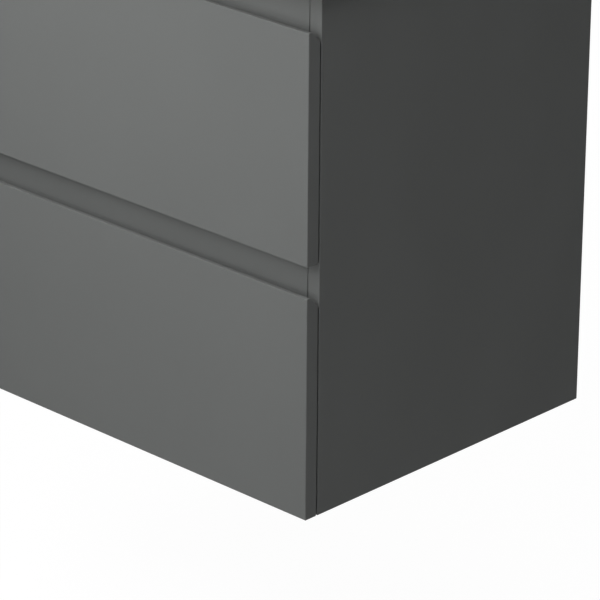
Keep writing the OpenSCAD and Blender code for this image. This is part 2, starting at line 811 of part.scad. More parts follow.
module drawer_side(side, z, h) {
    base_z = z + base_up;
    color([0.86, 0.86, 0.85]) hung() on_side(side) difference() {
        block([box_x - box_t, front_back_y, z], [box_x, box_back_y, z + h]);
        block([box_x - box_t - cut, front_back_y - cut, base_z - ease],
            [box_x - box_t + base_in, box_back_y + cut, base_z + base_t + ease]);
        for (y = drawer_screw_y)
            translate([box_x, slide_front_y + y, z + slide_up]) facing_right() pilot(slide_t);
        at_side_screws(z, 0) pilot(bracket_t);
        at_back_screws(z, h) pilot(0, back_screw_len);
    }
}

// Bottom board of a box, which slides in the grooves of its sides
module base_board(z) {
    x = box_x - box_t + base_in - ease;
    block([-x, front_back_y + ease, z + base_up], [x, box_back_y, z + base_up + base_t]);
}

// Piece of a drawer's back between two places across the width
module back_board(low_x, high_x, z, h) {
    difference() {
        block([low_x, box_back_y - box_t, z + base_up + base_t], [high_x, box_back_y, z + h]);
        for (side = [-1, 1]) on_side(side) at_back_screws(z, h) pilot(0, back_screw_len);
    }
}

// Steel angles that hold a front to its sides
module front_brackets(z) {
    x = box_x - box_t;
    low_z = bracket_z(z);
    color([0.72, 0.73, 0.74]) hung() for (side = [-1, 1]) on_side(side) difference() {
        union() {
            block([x - bracket_leg, front_back_y, low_z], [x, front_back_y + bracket_t, low_z + bracket_h]);
            block([x - bracket_t, front_back_y, low_z], [x, front_back_y + bracket_leg, low_z + bracket_h]);
        }
        for (s = bracket_screw_z) {
            rod_y([x - bracket_hole, front_back_y - cut, low_z + s], screw_d + 2 * ease,
                bracket_t + 2 * cut);
            rod_x([x - bracket_t - cut, front_back_y + bracket_hole, low_z + s], screw_d + 2 * ease,
                bracket_t + 2 * cut);
        }
    }
}

// Every screw that moves with a drawer
module drawer_screws(z, h) {
    color([0.72, 0.72, 0.73]) hung() {
        at_front_screws(z, bracket_t) screw();
        for (side = [-1, 1]) on_side(side) {
            at_side_screws(z, bracket_t) screw();
            at_back_screws(z, h) screw(len = back_screw_len);
            for (y = drawer_screw_y)
                translate([box_x + slide_t, slide_front_y + y, z + slide_up])
                    facing_right() screw(slide_head_h);
        }
    }
}

// Rubber buffers on the back of a front, which meet the side panels' front edges
module buffers(z) {
    color([0.88, 0.88, 0.86]) hung()
        for (side = [-1, 1], up = [buffer_in, front_h - bevel - buffer_in]) on_side(side)
            rod_y([inner_x + panel_t / 2, front_back_y, z + up], buffer_d, front_gap - ease);
}

// Plan of the trap cut-out, grown by a thickness, from the drawer's back edge forwards
module cutout_plan(grow, past) {
    half = cutout_w / 2 + grow;
    depth = cutout_d + grow;
    r = cutout_r + grow;
    translate([-half, r - depth]) square([2 * half, depth - r + past]);
    translate([r - half, -depth]) square([2 * (half - r), depth + past]);
    for (x = [-1, 1]) translate([x * (half - r), r - depth]) circle(r);
}

module upper_front() {
    drawer_front(upper_front_z, upper_box_z);
}

module upper_bottom() {
    color([0.86, 0.86, 0.85]) hung() difference() {
        base_board(upper_box_z);
        translate([0, box_back_y, upper_box_z + base_up - cut])
            linear_extrude(base_t + 2 * cut) cutout_plan(0, cut);
    }
}

module upper_back(side) {
    color([0.86, 0.86, 0.85]) hung() on_side(side)
        back_board(cutout_w / 2 + surround_t + ease, box_x - box_t - ease, upper_box_z, upper_box_h);
}

module trap_surround() {
    low_z = upper_box_z + base_up + base_t;
    color([0.80, 0.80, 0.79]) hung() translate([0, box_back_y, low_z])
        linear_extrude(upper_box_z + upper_box_h - low_z) difference() {
            cutout_plan(surround_t, 0);
            cutout_plan(0, cut);
        }
}

module lower_front() {
    drawer_front(0, lower_box_z);
}

module lower_bottom() {
    color([0.86, 0.86, 0.85]) hung() base_board(lower_box_z);
}

module lower_back() {
    x = box_x - box_t - ease;
    color([0.86, 0.86, 0.85]) hung() back_board(-x, x, lower_box_z, lower_box_h);
}

// Ring that trims the overflow hole; its flange lies on the sloping back wall of the bowl
module overflow_ring() {
    hole_r = overflow_d / 2;
    slope = atan(bowl_draft / (deck_z + rim_h - bowl_floor_z - bowl_fillet));
    color([0.85, 0.86, 0.88]) hung()
        translate([0, bowl_wall_y(overflow_z), overflow_z]) rotate([90 - slope, 0, 0])
        rotate_extrude() polygon([
            [hole_r - 3, -10], [hole_r - 1.5, -10], [hole_r - 1.5, ease], [hole_r + 3, ease],
            [hole_r + 3, 1.2], [hole_r + 1, 2.4], [hole_r - 1, 2.4], [hole_r - 3, 1.2]
        ]);
}

side_panel(-1);  // side_panel_left
side_panel(1);  // side_panel_right
bottom_panel();
top_front_rail();
middle_rail();
top_back_rail();
lower_back_rail();
dowels();
cam_discs();
cam_bolts();
wall_rail();
hanger(-1);  // hanger_left
hanger(1);  // hanger_right
hook(-1);  // hook_left
hook(1);  // hook_right
hanger_screws();
basin();
overflow_ring();
cabinet_slide(-1, upper_box_z);  // cabinet_slide_upper_left
cabinet_slide(1, upper_box_z);  // cabinet_slide_upper_right
cabinet_slide(-1, lower_box_z);  // cabinet_slide_lower_left
cabinet_slide(1, lower_box_z);  // cabinet_slide_lower_right
slide_screws();
middle_slide(-1, upper_box_z);  // middle_slide_upper_left
middle_slide(1, upper_box_z);  // middle_slide_upper_right
middle_slide(-1, lower_box_z);  // middle_slide_lower_left
middle_slide(1, lower_box_z);  // middle_slide_lower_right
ball_cage(-1, upper_box_z, outer_cage_u, outer_ball_v);  // outer_cage_upper_left
ball_cage(1, upper_box_z, outer_cage_u, outer_ball_v);  // outer_cage_upper_right
ball_cage(-1, lower_box_z, outer_cage_u, outer_ball_v);  // outer_cage_lower_left
ball_cage(1, lower_box_z, outer_cage_u, outer_ball_v);  // outer_cage_lower_right
ball_cage(-1, upper_box_z, inner_cage_u, inner_ball_v);  // inner_cage_upper_left
ball_cage(1, upper_box_z, inner_cage_u, inner_ball_v);  // inner_cage_upper_right
ball_cage(-1, lower_box_z, inner_cage_u, inner_ball_v);  // inner_cage_lower_left
ball_cage(1, lower_box_z, inner_cage_u, inner_ball_v);  // inner_cage_lower_right
upper_front();
drawer_side(-1, upper_box_z, upper_box_h);  // upper_side_left
drawer_side(1, upper_box_z, upper_box_h);  // upper_side_right
upper_bottom();
upper_back(-1);  // upper_back_left
upper_back(1);  // upper_back_right
trap_surround();
drawer_slide(-1, upper_box_z);  // drawer_slide_upper_left
drawer_slide(1, upper_box_z);  // drawer_slide_upper_right
front_brackets(upper_box_z);  // upper_brackets
drawer_screws(upper_box_z, upper_box_h);  // upper_screws
buffers(upper_front_z);  // upper_buffers
lower_front();
drawer_side(-1, lower_box_z, lower_box_h);  // lower_side_left
drawer_side(1, lower_box_z, lower_box_h);  // lower_side_right
lower_bottom();
lower_back();
drawer_slide(-1, lower_box_z);  // drawer_slide_lower_left
drawer_slide(1, lower_box_z);  // drawer_slide_lower_right
front_brackets(lower_box_z);  // lower_brackets
drawer_screws(lower_box_z, lower_box_h);  // lower_screws
buffers(0);  // lower_buffers
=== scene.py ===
# %% [markdown]
# # A wall-hung bathroom vanity
# The object is a cabinet of matt dark grey lacquered board with two handle-less drawers and a
# ceramic basin. Its exact solids come from a CAD program, as a frame. This lesson dresses them: it
# sets up a plain studio, mixes the finishes as node materials and builds each piece as a mesh that
# sits exactly where its CAD solid is.

# %% Load the frame
import json
import math

import bmesh
import bpy
from mathutils import Matrix, Vector

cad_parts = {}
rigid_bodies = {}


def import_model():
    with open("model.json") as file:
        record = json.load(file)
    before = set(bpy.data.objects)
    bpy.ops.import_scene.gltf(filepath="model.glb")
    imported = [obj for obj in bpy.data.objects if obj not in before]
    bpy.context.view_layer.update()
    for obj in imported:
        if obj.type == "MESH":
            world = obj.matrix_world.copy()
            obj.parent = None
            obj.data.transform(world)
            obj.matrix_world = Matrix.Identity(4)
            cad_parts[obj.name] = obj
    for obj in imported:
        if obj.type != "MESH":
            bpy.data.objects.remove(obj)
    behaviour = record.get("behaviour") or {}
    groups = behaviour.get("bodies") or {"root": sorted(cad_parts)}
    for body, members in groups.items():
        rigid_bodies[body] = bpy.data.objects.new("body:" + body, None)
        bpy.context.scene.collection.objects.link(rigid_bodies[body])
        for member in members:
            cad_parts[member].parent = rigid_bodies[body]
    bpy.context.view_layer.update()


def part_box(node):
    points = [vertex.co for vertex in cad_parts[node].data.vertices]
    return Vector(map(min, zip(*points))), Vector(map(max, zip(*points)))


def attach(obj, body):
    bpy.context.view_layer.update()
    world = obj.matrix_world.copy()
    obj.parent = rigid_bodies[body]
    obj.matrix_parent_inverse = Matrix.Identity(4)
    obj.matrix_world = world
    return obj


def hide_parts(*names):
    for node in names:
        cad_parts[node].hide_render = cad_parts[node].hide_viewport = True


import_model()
MM = 0.001


def placed(name, data):
    """A new object in the scene."""
    made = bpy.data.objects.new(name, data)
    bpy.context.scene.collection.objects.link(made)
    return made


def kept_form(name, bm):
    """Turns a form that is being edited into a mesh."""
    mesh = bpy.data.meshes.new(name)
    bm.to_mesh(mesh)
    bm.free()
    return mesh


def count(word):
    return sum(word in one.name for one in bpy.data.objects)


# %% [markdown]
# ## Camera
# A product photographer stands well back with a long lens, which keeps edges nearly parallel. The
# camera could be aimed by eye, but the edges along the width, the depth and the height fix its
# place, its picture axes and its focal length exactly.

# %% Place the camera
LENS_MM = 228.32
SENSOR_MM = 36
CAMERA_AT = Vector((3.1104, -3.3057, 1.6107))
PICTURE_RIGHT = Vector((0.71843, 0.69557, 0.00627))
PICTURE_UP = Vector((-0.27443, 0.27515, 0.92140))

camera = placed("camera", bpy.data.cameras.new("camera"))
camera.data.lens = LENS_MM
camera.data.sensor_width = SENSOR_MM
camera.data.clip_end = 60
towards_back = PICTURE_RIGHT.cross(PICTURE_UP)
turn = Matrix((PICTURE_RIGHT, PICTURE_UP, towards_back)).transposed()
camera.matrix_world = Matrix.Translation(CAMERA_AT) @ turn.to_4x4()
bpy.context.scene.camera = camera
bpy.context.scene.view_settings.view_transform = "Standard"

# %% [markdown]
# ## Small helpers for node trees
# Every finish is a tree of shader nodes. They could be wired one call at a time, but a helper that
# makes a node and plugs in its inputs keeps each finish readable as a list of what it is made of.


# %% Make a node and plug it in
def is_socket(value):
    return isinstance(value, bpy.types.NodeSocket)


def plug(socket, value):
    """Links a socket to another one, or gives it a plain value."""
    if is_socket(value):
        socket.id_data.links.new(value, socket)
    elif socket.type == "RGBA":
        socket.default_value = (*value, 1)
    else:
        socket.default_value = value


def add(kind, *inputs, tree=None, options=None, **named):
    """A node with inputs in order, or by name with _ for a space, in the tree that they are in."""
    for value in filter(is_socket, (*inputs, *named.values())):
        tree = value.id_data
    made = tree.nodes.new("ShaderNode" + kind)
    for key, value in (options or {}).items():
        setattr(made, key, value)
    for socket, value in zip(made.inputs, inputs):
        plug(socket, value)
    for key, value in named.items():
        plug(made.inputs[key.replace("_", " ")], value)
    return made


# %% Arithmetic, mixing and noise
def calc(operation, *values):
    return add("Math", *values, options={"operation": operation}).outputs[0]


def fade(value, start, end, low=0.0, high=1.0):
    """Goes smoothly from low to high as value goes from start to end."""
    options = {"interpolation_type": "SMOOTHSTEP"}
    return add("MapRange", value, start, end, low, high, options=options).outputs[0]


def blend(share, first, second):
    made = add("Mix", share, options={"data_type": "RGBA"})
    plug(made.inputs[6], first)
    plug(made.inputs[7], second)
    return made.outputs[2]


def noise(vector, size, detail=2.0, rough=0.5):
    """Noise whose patches are about size metres across; the size may come from a socket."""
    scale = calc("DIVIDE", 0.5, size) if is_socket(size) else 0.5 / size
    made = add("TexNoise", Vector=vector, Scale=scale, Detail=detail, Roughness=rough)
    return made.outputs[0]


def stretched(vector, x, y, z):
    options = {"operation": "MULTIPLY"}
    return add("VectorMath", vector, (x, y, z), options=options).outputs[0]


print("helpers ready")

# %% [markdown]
# ## Studio
# The cabinet hangs in front of a plain white sweep. A white wall and floor could be lit until they
# burn out, but that would also flood the grey lacquer. So the floor and the world are white to
# the camera and to reflections through Light Path, and the lamps alone light the cabinet.

# %% Floor and world
FLOOR_Z, FLOOR_R = -0.75, 14
PAPER = (0.6, 0.6, 0.6)
WHITE = (1, 1, 1)
WHITE_SHARE, WHITE_LEVEL = 0.8, 1.195


def seen_directly(tree):
    """1 for camera rays, reflections and what shows through glass, 0 for lighting rays."""
    path = add("LightPath", tree=tree).outputs
    seen = calc("MAXIMUM", path["Is Camera Ray"], path["Is Glossy Ray"])
    return calc("MAXIMUM", seen, path["Is Transmission Ray"])


floor_paint, world = bpy.data.materials.new("studio_floor"), bpy.data.worlds.new("studio")
for owner in (floor_paint, world):
    owner.use_nodes = True
    owner.node_tree.nodes.clear()
tree = floor_paint.node_tree
paper = add("BsdfDiffuse", tree=tree, Color=PAPER).outputs[0]
white = add("Emission", tree=tree, Color=WHITE, Strength=WHITE_LEVEL).outputs[0]
share = calc("MULTIPLY", seen_directly(tree), WHITE_SHARE)
add("OutputMaterial", add("MixShader", share, paper, white).outputs[0])

ring = bmesh.new()
bmesh.ops.create_circle(ring, cap_ends=True, radius=FLOOR_R, segments=96)
floor = placed("floor", kept_form("floor", ring))
floor.location.z = FLOOR_Z
floor.data.materials.append(floor_paint)

bpy.context.scene.world = world
sky = add("Background", Color=WHITE, Strength=seen_directly(world.node_tree))
add("OutputWorld", sky.outputs[0])

# %% [markdown]
# ## Lamps
# The photograph's grooves are bright in the middle and its top edges are darker than its faces, so
# three boxes light the fronts: a large one in front and above, one close by that fades downwards,
# and a weak one at the cabinet's height that reaches into the grooves. An overhead box lights the
# basin and grazes the side panel, and one behind keeps the back readable. One lamp on the camera
# would flatten all of it to one grey.


# %% Soft boxes
def soft_box(name, at, aim, size, watts, mirrored=True):
    lamp = placed(name, bpy.data.lights.new(name, "AREA"))
    lamp.data.shape = "SQUARE"
    lamp.data.size = size
    lamp.data.energy = watts
    lamp.visible_camera = False
    lamp.visible_glossy = mirrored
    lamp.location = at
    lamp.rotation_euler = (Vector(aim) - Vector(at)).to_track_quat("-Z", "Y").to_euler()


soft_box("key", (0, -3, 2.6), (0, -0.4, 0), 3.0, 23.5)
soft_box("close_key", (-0.3, -1.3, 0.9), (0, -0.4, 0.1), 0.8, 9.1)
soft_box("low_front", (0.6, -1.6, 0.3), (0.1, -0.4, 0), 0.8, 5.6)
soft_box("overhead", (1.1, -0.5, 2.6), (0.3, -0.3, 0), 1.0, 20.5)
soft_box("back_fill", (-2.6, 2.8, 1.8), (0, 0, 0), 2.0, 36, mirrored=False)
print("lamps", len(bpy.data.lights))

# %% [markdown]
# ## What the finishes share
# Sprayed lacquer has a faint orange peel and dries a little unevenly, pressed board has a pearled
# skin, rolled steel has fine lines and zinc blooms in patches. Image textures could show this, but
# patterns made by nodes stay sharp at any distance. Each effect is one group with named sockets,
# placed in every finish that needs it with its own sizes.


# %% A group for each effect
def effect(make, **sizes):
    """A node group: a Vector and sizes go in, and what make returns by name comes out."""
    tree = bpy.data.node_groups.new(make.__name__, "ShaderNodeTree")
    socket = tree.interface.new_socket
    socket("Vector", in_out="INPUT", socket_type="NodeSocketVector")
    for label, value in sizes.items():
        made = socket(label.replace("_", " "), in_out="INPUT", socket_type="NodeSocketFloat")
        made.default_value = value
    given = tree.nodes.new("NodeGroupInput").outputs
    results = make(*given[: len(sizes) + 1])
    for label in results:
        socket(label, in_out="OUTPUT", socket_type="NodeSocketFloat")
    leave = tree.nodes.new("NodeGroupOutput").inputs
    for label, value in results.items():
        plug(leave[label], value)
    print("group", tree.name, "gives", *results)


def use(group, *inputs):
    """Places a group in a material and returns its outputs."""
    return add("Group", *inputs, options={"node_tree": bpy.data.node_groups[group]}).outputs


def swaying_cells(place, size, sway, **look):
    """Cells about size metres across with borders that sway; their distances and colours."""
    shift = calc("MULTIPLY", noise(place, 0.002), sway)
    swayed = add("VectorMath", place, shift, options={"operation": "ADD"}).outputs[0]
    scale = calc("DIVIDE", 1.0, size)
    cells = add("TexVoronoi", Vector=swayed, Scale=scale, **look).outputs
    return cells["Distance"], add("SeparateColor", cells["Color"]).outputs


print("groups can be made")


# %% Sprayed lacquer: orange peel, drying haze and dust nibs
def sprayed_coat(place, peel_size, haze_size):
    fine = noise(place, 0.0004, 1.0)
    dust = add("TexVoronoi", Vector=place, Scale=90).outputs[0]
    return {
        "Height": calc("MULTIPLY_ADD", fine, 0.25, noise(place, peel_size, 1.0)),
        "Tone": fade(noise(place, haze_size, 3.0), 0.3, 0.7),
        "Nibs": fade(dust, 0.02, 0.035, 1.0, 0.0),
    }


effect(sprayed_coat, Peel_Size=0.0012, Haze_Size=0.12)


# %% Pressed board skin and raw chipboard
def pressed_skin(place, pearl_size):
    pores = noise(stretched(place, 1, 0.12, 1), 0.0005)
    height = calc("MULTIPLY_ADD", pores, 0.5, noise(place, pearl_size, 3.0, 0.6))
    return {"Height": height, "Tone": fade(noise(place, 0.03, 4.0, 0.6), 0.3, 0.7)}


def glued_chips(place, chip_size):
    distance, colour = swaying_cells(place, chip_size, 0.002)
    return {"Height": calc("SUBTRACT", 1.0, distance), "Tone": colour[0]}


effect(pressed_skin, Pearl_Size=0.0006)
effect(glued_chips, Chip_Size=0.0018)


# %% Rolled sheet and zinc bloom
def rolled_lines(place, line_width):
    lines = noise(place, line_width, 3.0, 0.65)
    return {"Height": lines, "Tone": fade(lines, 0.3, 0.7)}


def zinc_bloom(place, patch_size):
    soft = {"feature": "SMOOTH_F1"}
    colour = swaying_cells(place, patch_size, 0.004, Smoothness=0.6, options=soft)[1]
    return {"Patches": colour[1], "Stain": fade(noise(place, 0.02, 4.0, 0.6), 0.45, 0.75)}


effect(rolled_lines, Line_Width=0.00035)
effect(zinc_bloom, Patch_Size=0.003)


# %% Moulded plastic grain, glaze and the marks of hands
def moulded_grain(place, grain_size):
    tone = fade(noise(place, 0.012), 0.3, 0.7)
    return {"Height": noise(place, grain_size, 2.0, 0.7), "Tone": tone}


def glaze_flow(place, wave_size):
    height = calc("MULTIPLY_ADD", noise(place, 0.0009, 1.0), 0.02, noise(place, wave_size))
    return {"Height": height, "Tone": fade(noise(place, 0.06, 3.0), 0.35, 0.65)}


def handling(place, strength):
    smears = noise(stretched(place, 1, 1, 0.4), 0.05, 3.0, 0.6)
    return {"Change": calc("MULTIPLY", fade(smears, 0.35, 0.75), strength)}


effect(moulded_grain, Grain_Size=0.0004)
effect(glaze_flow, Wave_Size=0.025)
effect(handling, Strength=0.05)

# %% [markdown]
# ## Lacquer and boards
# The fronts, sides and rails are boards sprayed with one matt dark grey lacquer, slightly green.
# A matt coat still has a soft sheen, so it keeps a low specular level and a high roughness rather
# than none. The inside and the drawers are melamine-faced board with a thin edge band, and holes
# show the raw chipboard.


# %% A finish, its shades, its relief and its wear
def finish(name, roughness, specular=0.5, metallic=0.0):
    """A new Principled material, with its shader's inputs and its place on the object."""
    made = bpy.data.materials.new(name)
    made.use_nodes = True
    shader = made.node_tree.nodes["Principled BSDF"].inputs
    plug(shader["Metallic"], metallic)
    plug(shader["Specular IOR Level"], specular)
    plug(shader["Roughness"], roughness)
    return made, shader, add("TexCoord", tree=made.node_tree).outputs["Object"]


def shades(colour, *factors):
    return [tuple(c * factor for c in colour) for factor in factors]


def relief(shader, height, depth, strength=1.0):
    """Bump of a depth in metres."""
    made = add("Bump", Strength=strength, Distance=depth, Height=height)
    plug(shader["Normal"], made.outputs[0])


def wear(shader, place, roughness, strength):
    """The marks of hands: a strength below 0 polishes, one above 0 dulls."""
    marks = use("handling", place, strength)["Change"]
    plug(shader["Roughness"], calc("ADD", roughness, marks))


def skinned(name, colours, roughness, specular, group, size, bump, handled=0.0):
    """A finish whose tone and relief come from one group; bump is (depth, strength)."""
    made, shader, place = finish(name, roughness, specular)
    skin = use(group, place, size)
    plug(shader["Base Color"], blend(skin["Tone"], *colours))
    relief(shader, skin["Height"], *bump)
    if handled:
        wear(shader, place, roughness, handled)
    print("finish", name)
    return made


# %% Matt grey lacquer
LACQUER = (0.160, 0.166, 0.1625)
NIB_SHARE = 0.25
lacquer, shader, place = finish("lacquer", 0.66, specular=0.2)
coat = use("sprayed_coat", place, 0.0012)
tint = blend(coat["Tone"], *shades(LACQUER, 0.985, 1.015))
nibs = calc("MULTIPLY", coat["Nibs"], NIB_SHARE)
plug(shader["Base Color"], blend(nibs, tint, *shades(LACQUER, 1.5)))
wear(shader, place, 0.66, -0.05)
relief(shader, coat["Height"], 0.00003, 0.25)
print("finish", lacquer.name)


# %% Melamine on board, edge band and raw chipboard
def melamine(name, colour, roughness):
    bump = (0.00005, 0.35)
    colours = shades(colour, 0.97, 1.03)
    return skinned(name, colours, roughness, 0.35, "pressed_skin", 0.0006, bump, -0.08)


MELAMINE = (0.150, 0.155, 0.152)
DRAWER_GREY = (0.270, 0.276, 0.270)
melamine_dark = melamine("melamine_dark", MELAMINE, 0.52)
melamine_mid = melamine("melamine_mid", DRAWER_GREY, 0.50)
band_dark = melamine("edge_band_dark", *shades(MELAMINE, 0.9), 0.40)
band_mid = melamine("edge_band_mid", *shades(DRAWER_GREY, 0.9), 0.38)

CHIPS = (0.23, 0.145, 0.075), (0.56, 0.41, 0.25)
chipboard = skinned("chipboard", CHIPS, 0.9, 0.2, "glued_chips", 0.0018, (0.0004, 1.0))

# %% Beech
BEECH = (0.43, 0.27, 0.14), (0.64, 0.46, 0.28)
beech, shader, place = finish("beech", 0.7, specular=0.3)
grain = noise(stretched(place, 0.08, 1, 1), 0.0006, 4.0, 0.6)
plug(shader["Base Color"], blend(fade(grain, 0.35, 0.65), *BEECH))
relief(shader, grain, 0.0001, 0.6)
print("finish", beech.name)

# %% [markdown]
# ## Ceramic, metal and plastic
# Sanitary ware is white clay under a thick glaze, which pools smoothly and mirrors the room, while
# the foot it was fired on stays bare. The hardware is zinc-plated sheet, bright steel balls and
# moulded plastic. All are Principled shaders, and what changes over the surface comes from groups.

# %% Glazed ceramic and its bare foot
GLAZE = shades((0.80, 0.80, 0.785), 0.985, 1.01)
glaze = skinned("white_glaze", GLAZE, 0.06, 0.5, "glaze_flow", 0.025, (0.0004, 0.3), 0.05)
BISQUE = shades((0.66, 0.62, 0.55), 0.94, 1.04)
bisque = skinned("bare_ceramic", BISQUE, 0.85, 0.25, "moulded_grain", 0.0006, (0.0002, 0.6))


# %% Plated sheet and turned steel
def plated(name, colour, roughness, run, patch, depth):
    """Metal with rolled lines along the run (three factors, small along the lines) and bloom."""
    made, shader, place = finish(name, roughness, metallic=1.0)
    lines = use("rolled_lines", stretched(place, *run), 0.00035)
    bloom = use("zinc_bloom", place, patch)
    tint = blend(bloom["Patches"], *shades(colour, 0.93, 1.05))
    dull = calc("MULTIPLY", bloom["Stain"], 0.3)
    plug(shader["Base Color"], blend(dull, tint, *shades(colour, 0.8)))
    rough = calc("MULTIPLY_ADD", bloom["Patches"], 0.07, roughness)
    plug(shader["Roughness"], calc("MULTIPLY_ADD", lines["Tone"], 0.06, rough))
    relief(shader, lines["Height"], depth, 0.4)
    print("metal", name)
    return made


ALONG_X, ALONG_Y, ALONG_Z, EVENLY = (0.04, 1, 1), (1, 0.04, 1), (1, 1, 0.04), (1, 1, 1)
runner_steel = plated("runner_steel", (0.60, 0.61, 0.62), 0.26, ALONG_Y, 0.003, 0.00002)
rail_steel = plated("rail_steel", (0.58, 0.59, 0.60), 0.32, ALONG_X, 0.005, 0.00003)
bracket_steel = plated("bracket_steel", (0.60, 0.61, 0.62), 0.30, ALONG_Z, 0.003, 0.00002)
screw_zinc = plated("screw_zinc", (0.62, 0.63, 0.66), 0.24, EVENLY, 0.003, 0.00001)
ball_steel = plated("ball_steel", (0.72, 0.72, 0.73), 0.10, EVENLY, 0.004, 0.000002)
chrome = plated("chrome", (0.80, 0.81, 0.83), 0.05, EVENLY, 0.02, 0.000002)


# %% Plastic and rubber
def moulded(name, colour, roughness, grain):
    bump = (0.00006, 0.5)
    colours = shades(colour, 0.96, 1.03)
    return skinned(name, colours, roughness, 0.45, "moulded_grain", grain, bump, -0.08)


housing_plastic = moulded("housing_plastic", (0.52, 0.52, 0.51), 0.45, 0.0004)
surround_plastic = moulded("surround_plastic", (0.255, 0.26, 0.255), 0.48, 0.0005)
buffer_rubber = moulded("buffer_rubber", (0.60, 0.60, 0.58), 0.35, 0.0008)
shader = buffer_rubber.node_tree.nodes["Principled BSDF"].inputs
plug(shader["Transmission Weight"], 0.45)

# %% [markdown]
# ## Small helpers for meshes
# The pieces are drawn in millimetres with heights from the cabinet's underside, as a joiner would
# measure them, and moved into the frame at the end. Modifiers could shape stock primitives, but
# pushing outlines along an axis and turning rounds is how such pieces are really made.


# %% Skins over rings, and outlines pushed along an axis
def skin(bm, rings, kind=0, closed=False, caps=False):
    """Joins rings of points, or single points, one after another; kind is the finish's number."""
    made = [[bm.verts.new(point) for point in ring] for ring in rings]
    faces = [bm.faces.new(ring) for ring in (made[0], made[-1]) if caps]
    for lower, upper in zip(made, made[1:] + (made[:1] if closed else [])):
        for i in range(max(len(lower), len(upper))):
            corners = [lower[(i - 1) % len(lower)], lower[i % len(lower)]]
            corners += [upper[i % len(upper)], upper[(i - 1) % len(upper)]]
            corners = list(dict.fromkeys(corners))
            if len(corners) > 2:
                faces.append(bm.faces.new(corners))
    for face in faces:
        face.material_index = kind
    bmesh.ops.recalc_face_normals(bm, faces=faces)


def prism(bm, outline, axis, start, end, kind=0):
    """Pushes an outline of two coordinates along the third axis."""
    order = {"x": (2, 0, 1), "y": (0, 2, 1), "z": (0, 1, 2)}[axis]
    rings = [[[(a, b, reach)[i] for i in order] for a, b in outline] for reach in (start, end)]
    skin(bm, rings, kind, caps=True)


def pushed(*outline_and_reach):
    """A new form from what prism needs."""
    bm = bmesh.new()
    prism(bm, *outline_and_reach)
    return bm


def rectangle(low_a, high_a, low_b, high_b):
    return [(low_a, low_b), (high_a, low_b), (high_a, high_b), (low_a, high_b)]


def arc(a, b, r, start, end, steps=6):
    """Points of a round from one angle to another, in degrees."""
    turns = [math.radians(start + (end - start) * i / steps) for i in range(steps + 1)]
    return [(a + r * math.cos(t), b + r * math.sin(t)) for t in turns]


print("an arc has", len(arc(0, 0, 1, 0, 90)), "points")


# %% Turned rounds and easing of edges
def facing(at, direction):
    """Puts a form drawn around +Z at a place, so that it looks in a direction."""
    turn = Vector(direction).to_track_quat("Z", "Y").to_matrix().to_4x4()
    return Matrix.Translation(at) @ turn


def turned(radii, h):
    """Level points at even turns around the Z axis, one for each radius."""
    turns = [(r, math.tau * i / len(radii)) for i, r in enumerate(radii)]
    return [Vector((r * math.cos(t), r * math.sin(t), h)) for r, t in turns]


def lathe(bm, profile, place=Matrix(), steps=24, closed=False, kind=0):
    """Turns a profile of (radius, height) around the place's Z axis."""
    rings = [turned([r] * (steps if r > 1e-6 else 1), h) for r, h in profile]
    skin(bm, [[place @ point for point in ring] for ring in rings], kind, closed)


def ease(bm, width, steps=2, limit=30, where=lambda edge: True):
    """Rounds every edge that turns more than a limit in degrees."""
    pairs = [edge for edge in bm.edges if len(edge.link_faces) == 2 and where(edge)]
    sharp = [edge for edge in pairs if edge.calc_face_angle() > math.radians(limit)]
    shape = {"segments": steps, "profile": 0.5, "affect": "EDGES", "clamp_overlap": True}
    bmesh.ops.bevel(bm, geom=sharp, offset=width, **shape)


print("lathe and easing ready")


# %% Cutting one form out of another, and finishing a piece
def combine(bm, other, operation="DIFFERENCE"):
    """Cuts or joins a second form; the faces that it leaves keep its own finish numbers."""
    made = []
    for form in (bm, other):
        made.append(placed("blank", kept_form("blank", form)))
        for _ in range(4):
            made[-1].data.materials.append(None)
    tool = made[0].modifiers.new("tool", "BOOLEAN")
    tool.object, tool.operation, tool.solver = made[1], operation, "EXACT"
    result = bmesh.new()
    result.from_object(made[0], bpy.context.evaluated_depsgraph_get())
    for one in made:
        bpy.data.meshes.remove(one.data)  # the object goes with it
    return result


def cut(bm, holes, prisms=(), kind=0):
    """Takes prisms out of a form, and holes of (place, direction, (diameter, depth))."""
    cutter = bmesh.new()
    for at, direction, (diameter, depth) in holes:
        side = [(diameter / 2, -depth), (diameter / 2, 1)]
        lathe(cutter, [(0, -depth), *side, (0, 1)], facing(at, direction), kind=kind)
    for one in prisms:
        prism(cutter, *one, kind)
    return combine(bm, cutter) if holes or prisms else bm


def sized(places, size):
    return [(*place, size) for place in places]


def stamp(bm, form, place):
    """Adds a copy of a finished form at a place."""
    copy = form.copy()
    copy.transform(place)
    bm.from_mesh(copy)
    bpy.data.meshes.remove(copy)


def piece(name, bm, look, node, body="root", smooth_to=35):
    """Makes a form the piece that stands for a CAD node; look is a slot name, which is not used,
    and its finishes.
    """
    bm.transform(Matrix.Scale(MM, 4) @ Matrix.Translation(-LIFT))
    made = placed(name, kept_form(name, bm))
    for one in look[1:]:
        made.data.materials.append(one)
    made.data.shade_smooth()
    made.data.set_sharp_from_angle(angle=math.radians(smooth_to))
    made.modifiers.new("flat_faces_stay_flat", "WEIGHTED_NORMAL").keep_sharp = True
    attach(made, body)
    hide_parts(node)


def extent(node):
    """Lowest and highest corner of a CAD node, in the joiner's millimetres."""
    return [Vector(corner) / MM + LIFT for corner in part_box(node)]


LIFT = Vector((0, 0, 315))
low, high = extent("side_panel_right")
print("a side panel is", [round(c, 2) for c in high - low])

# %% [markdown]
# ## Basin
# A ceramic basin is slip cast: a slab with a raised rim, and a bowl below it with an even wall. It
# is glazed all over except where it stands on the cabinet. Booleans could carve it from a block,
# but lofting one skin through rounded rectangles gives soft inner corners and an unbroken surface
# for the glaze to mirror in.

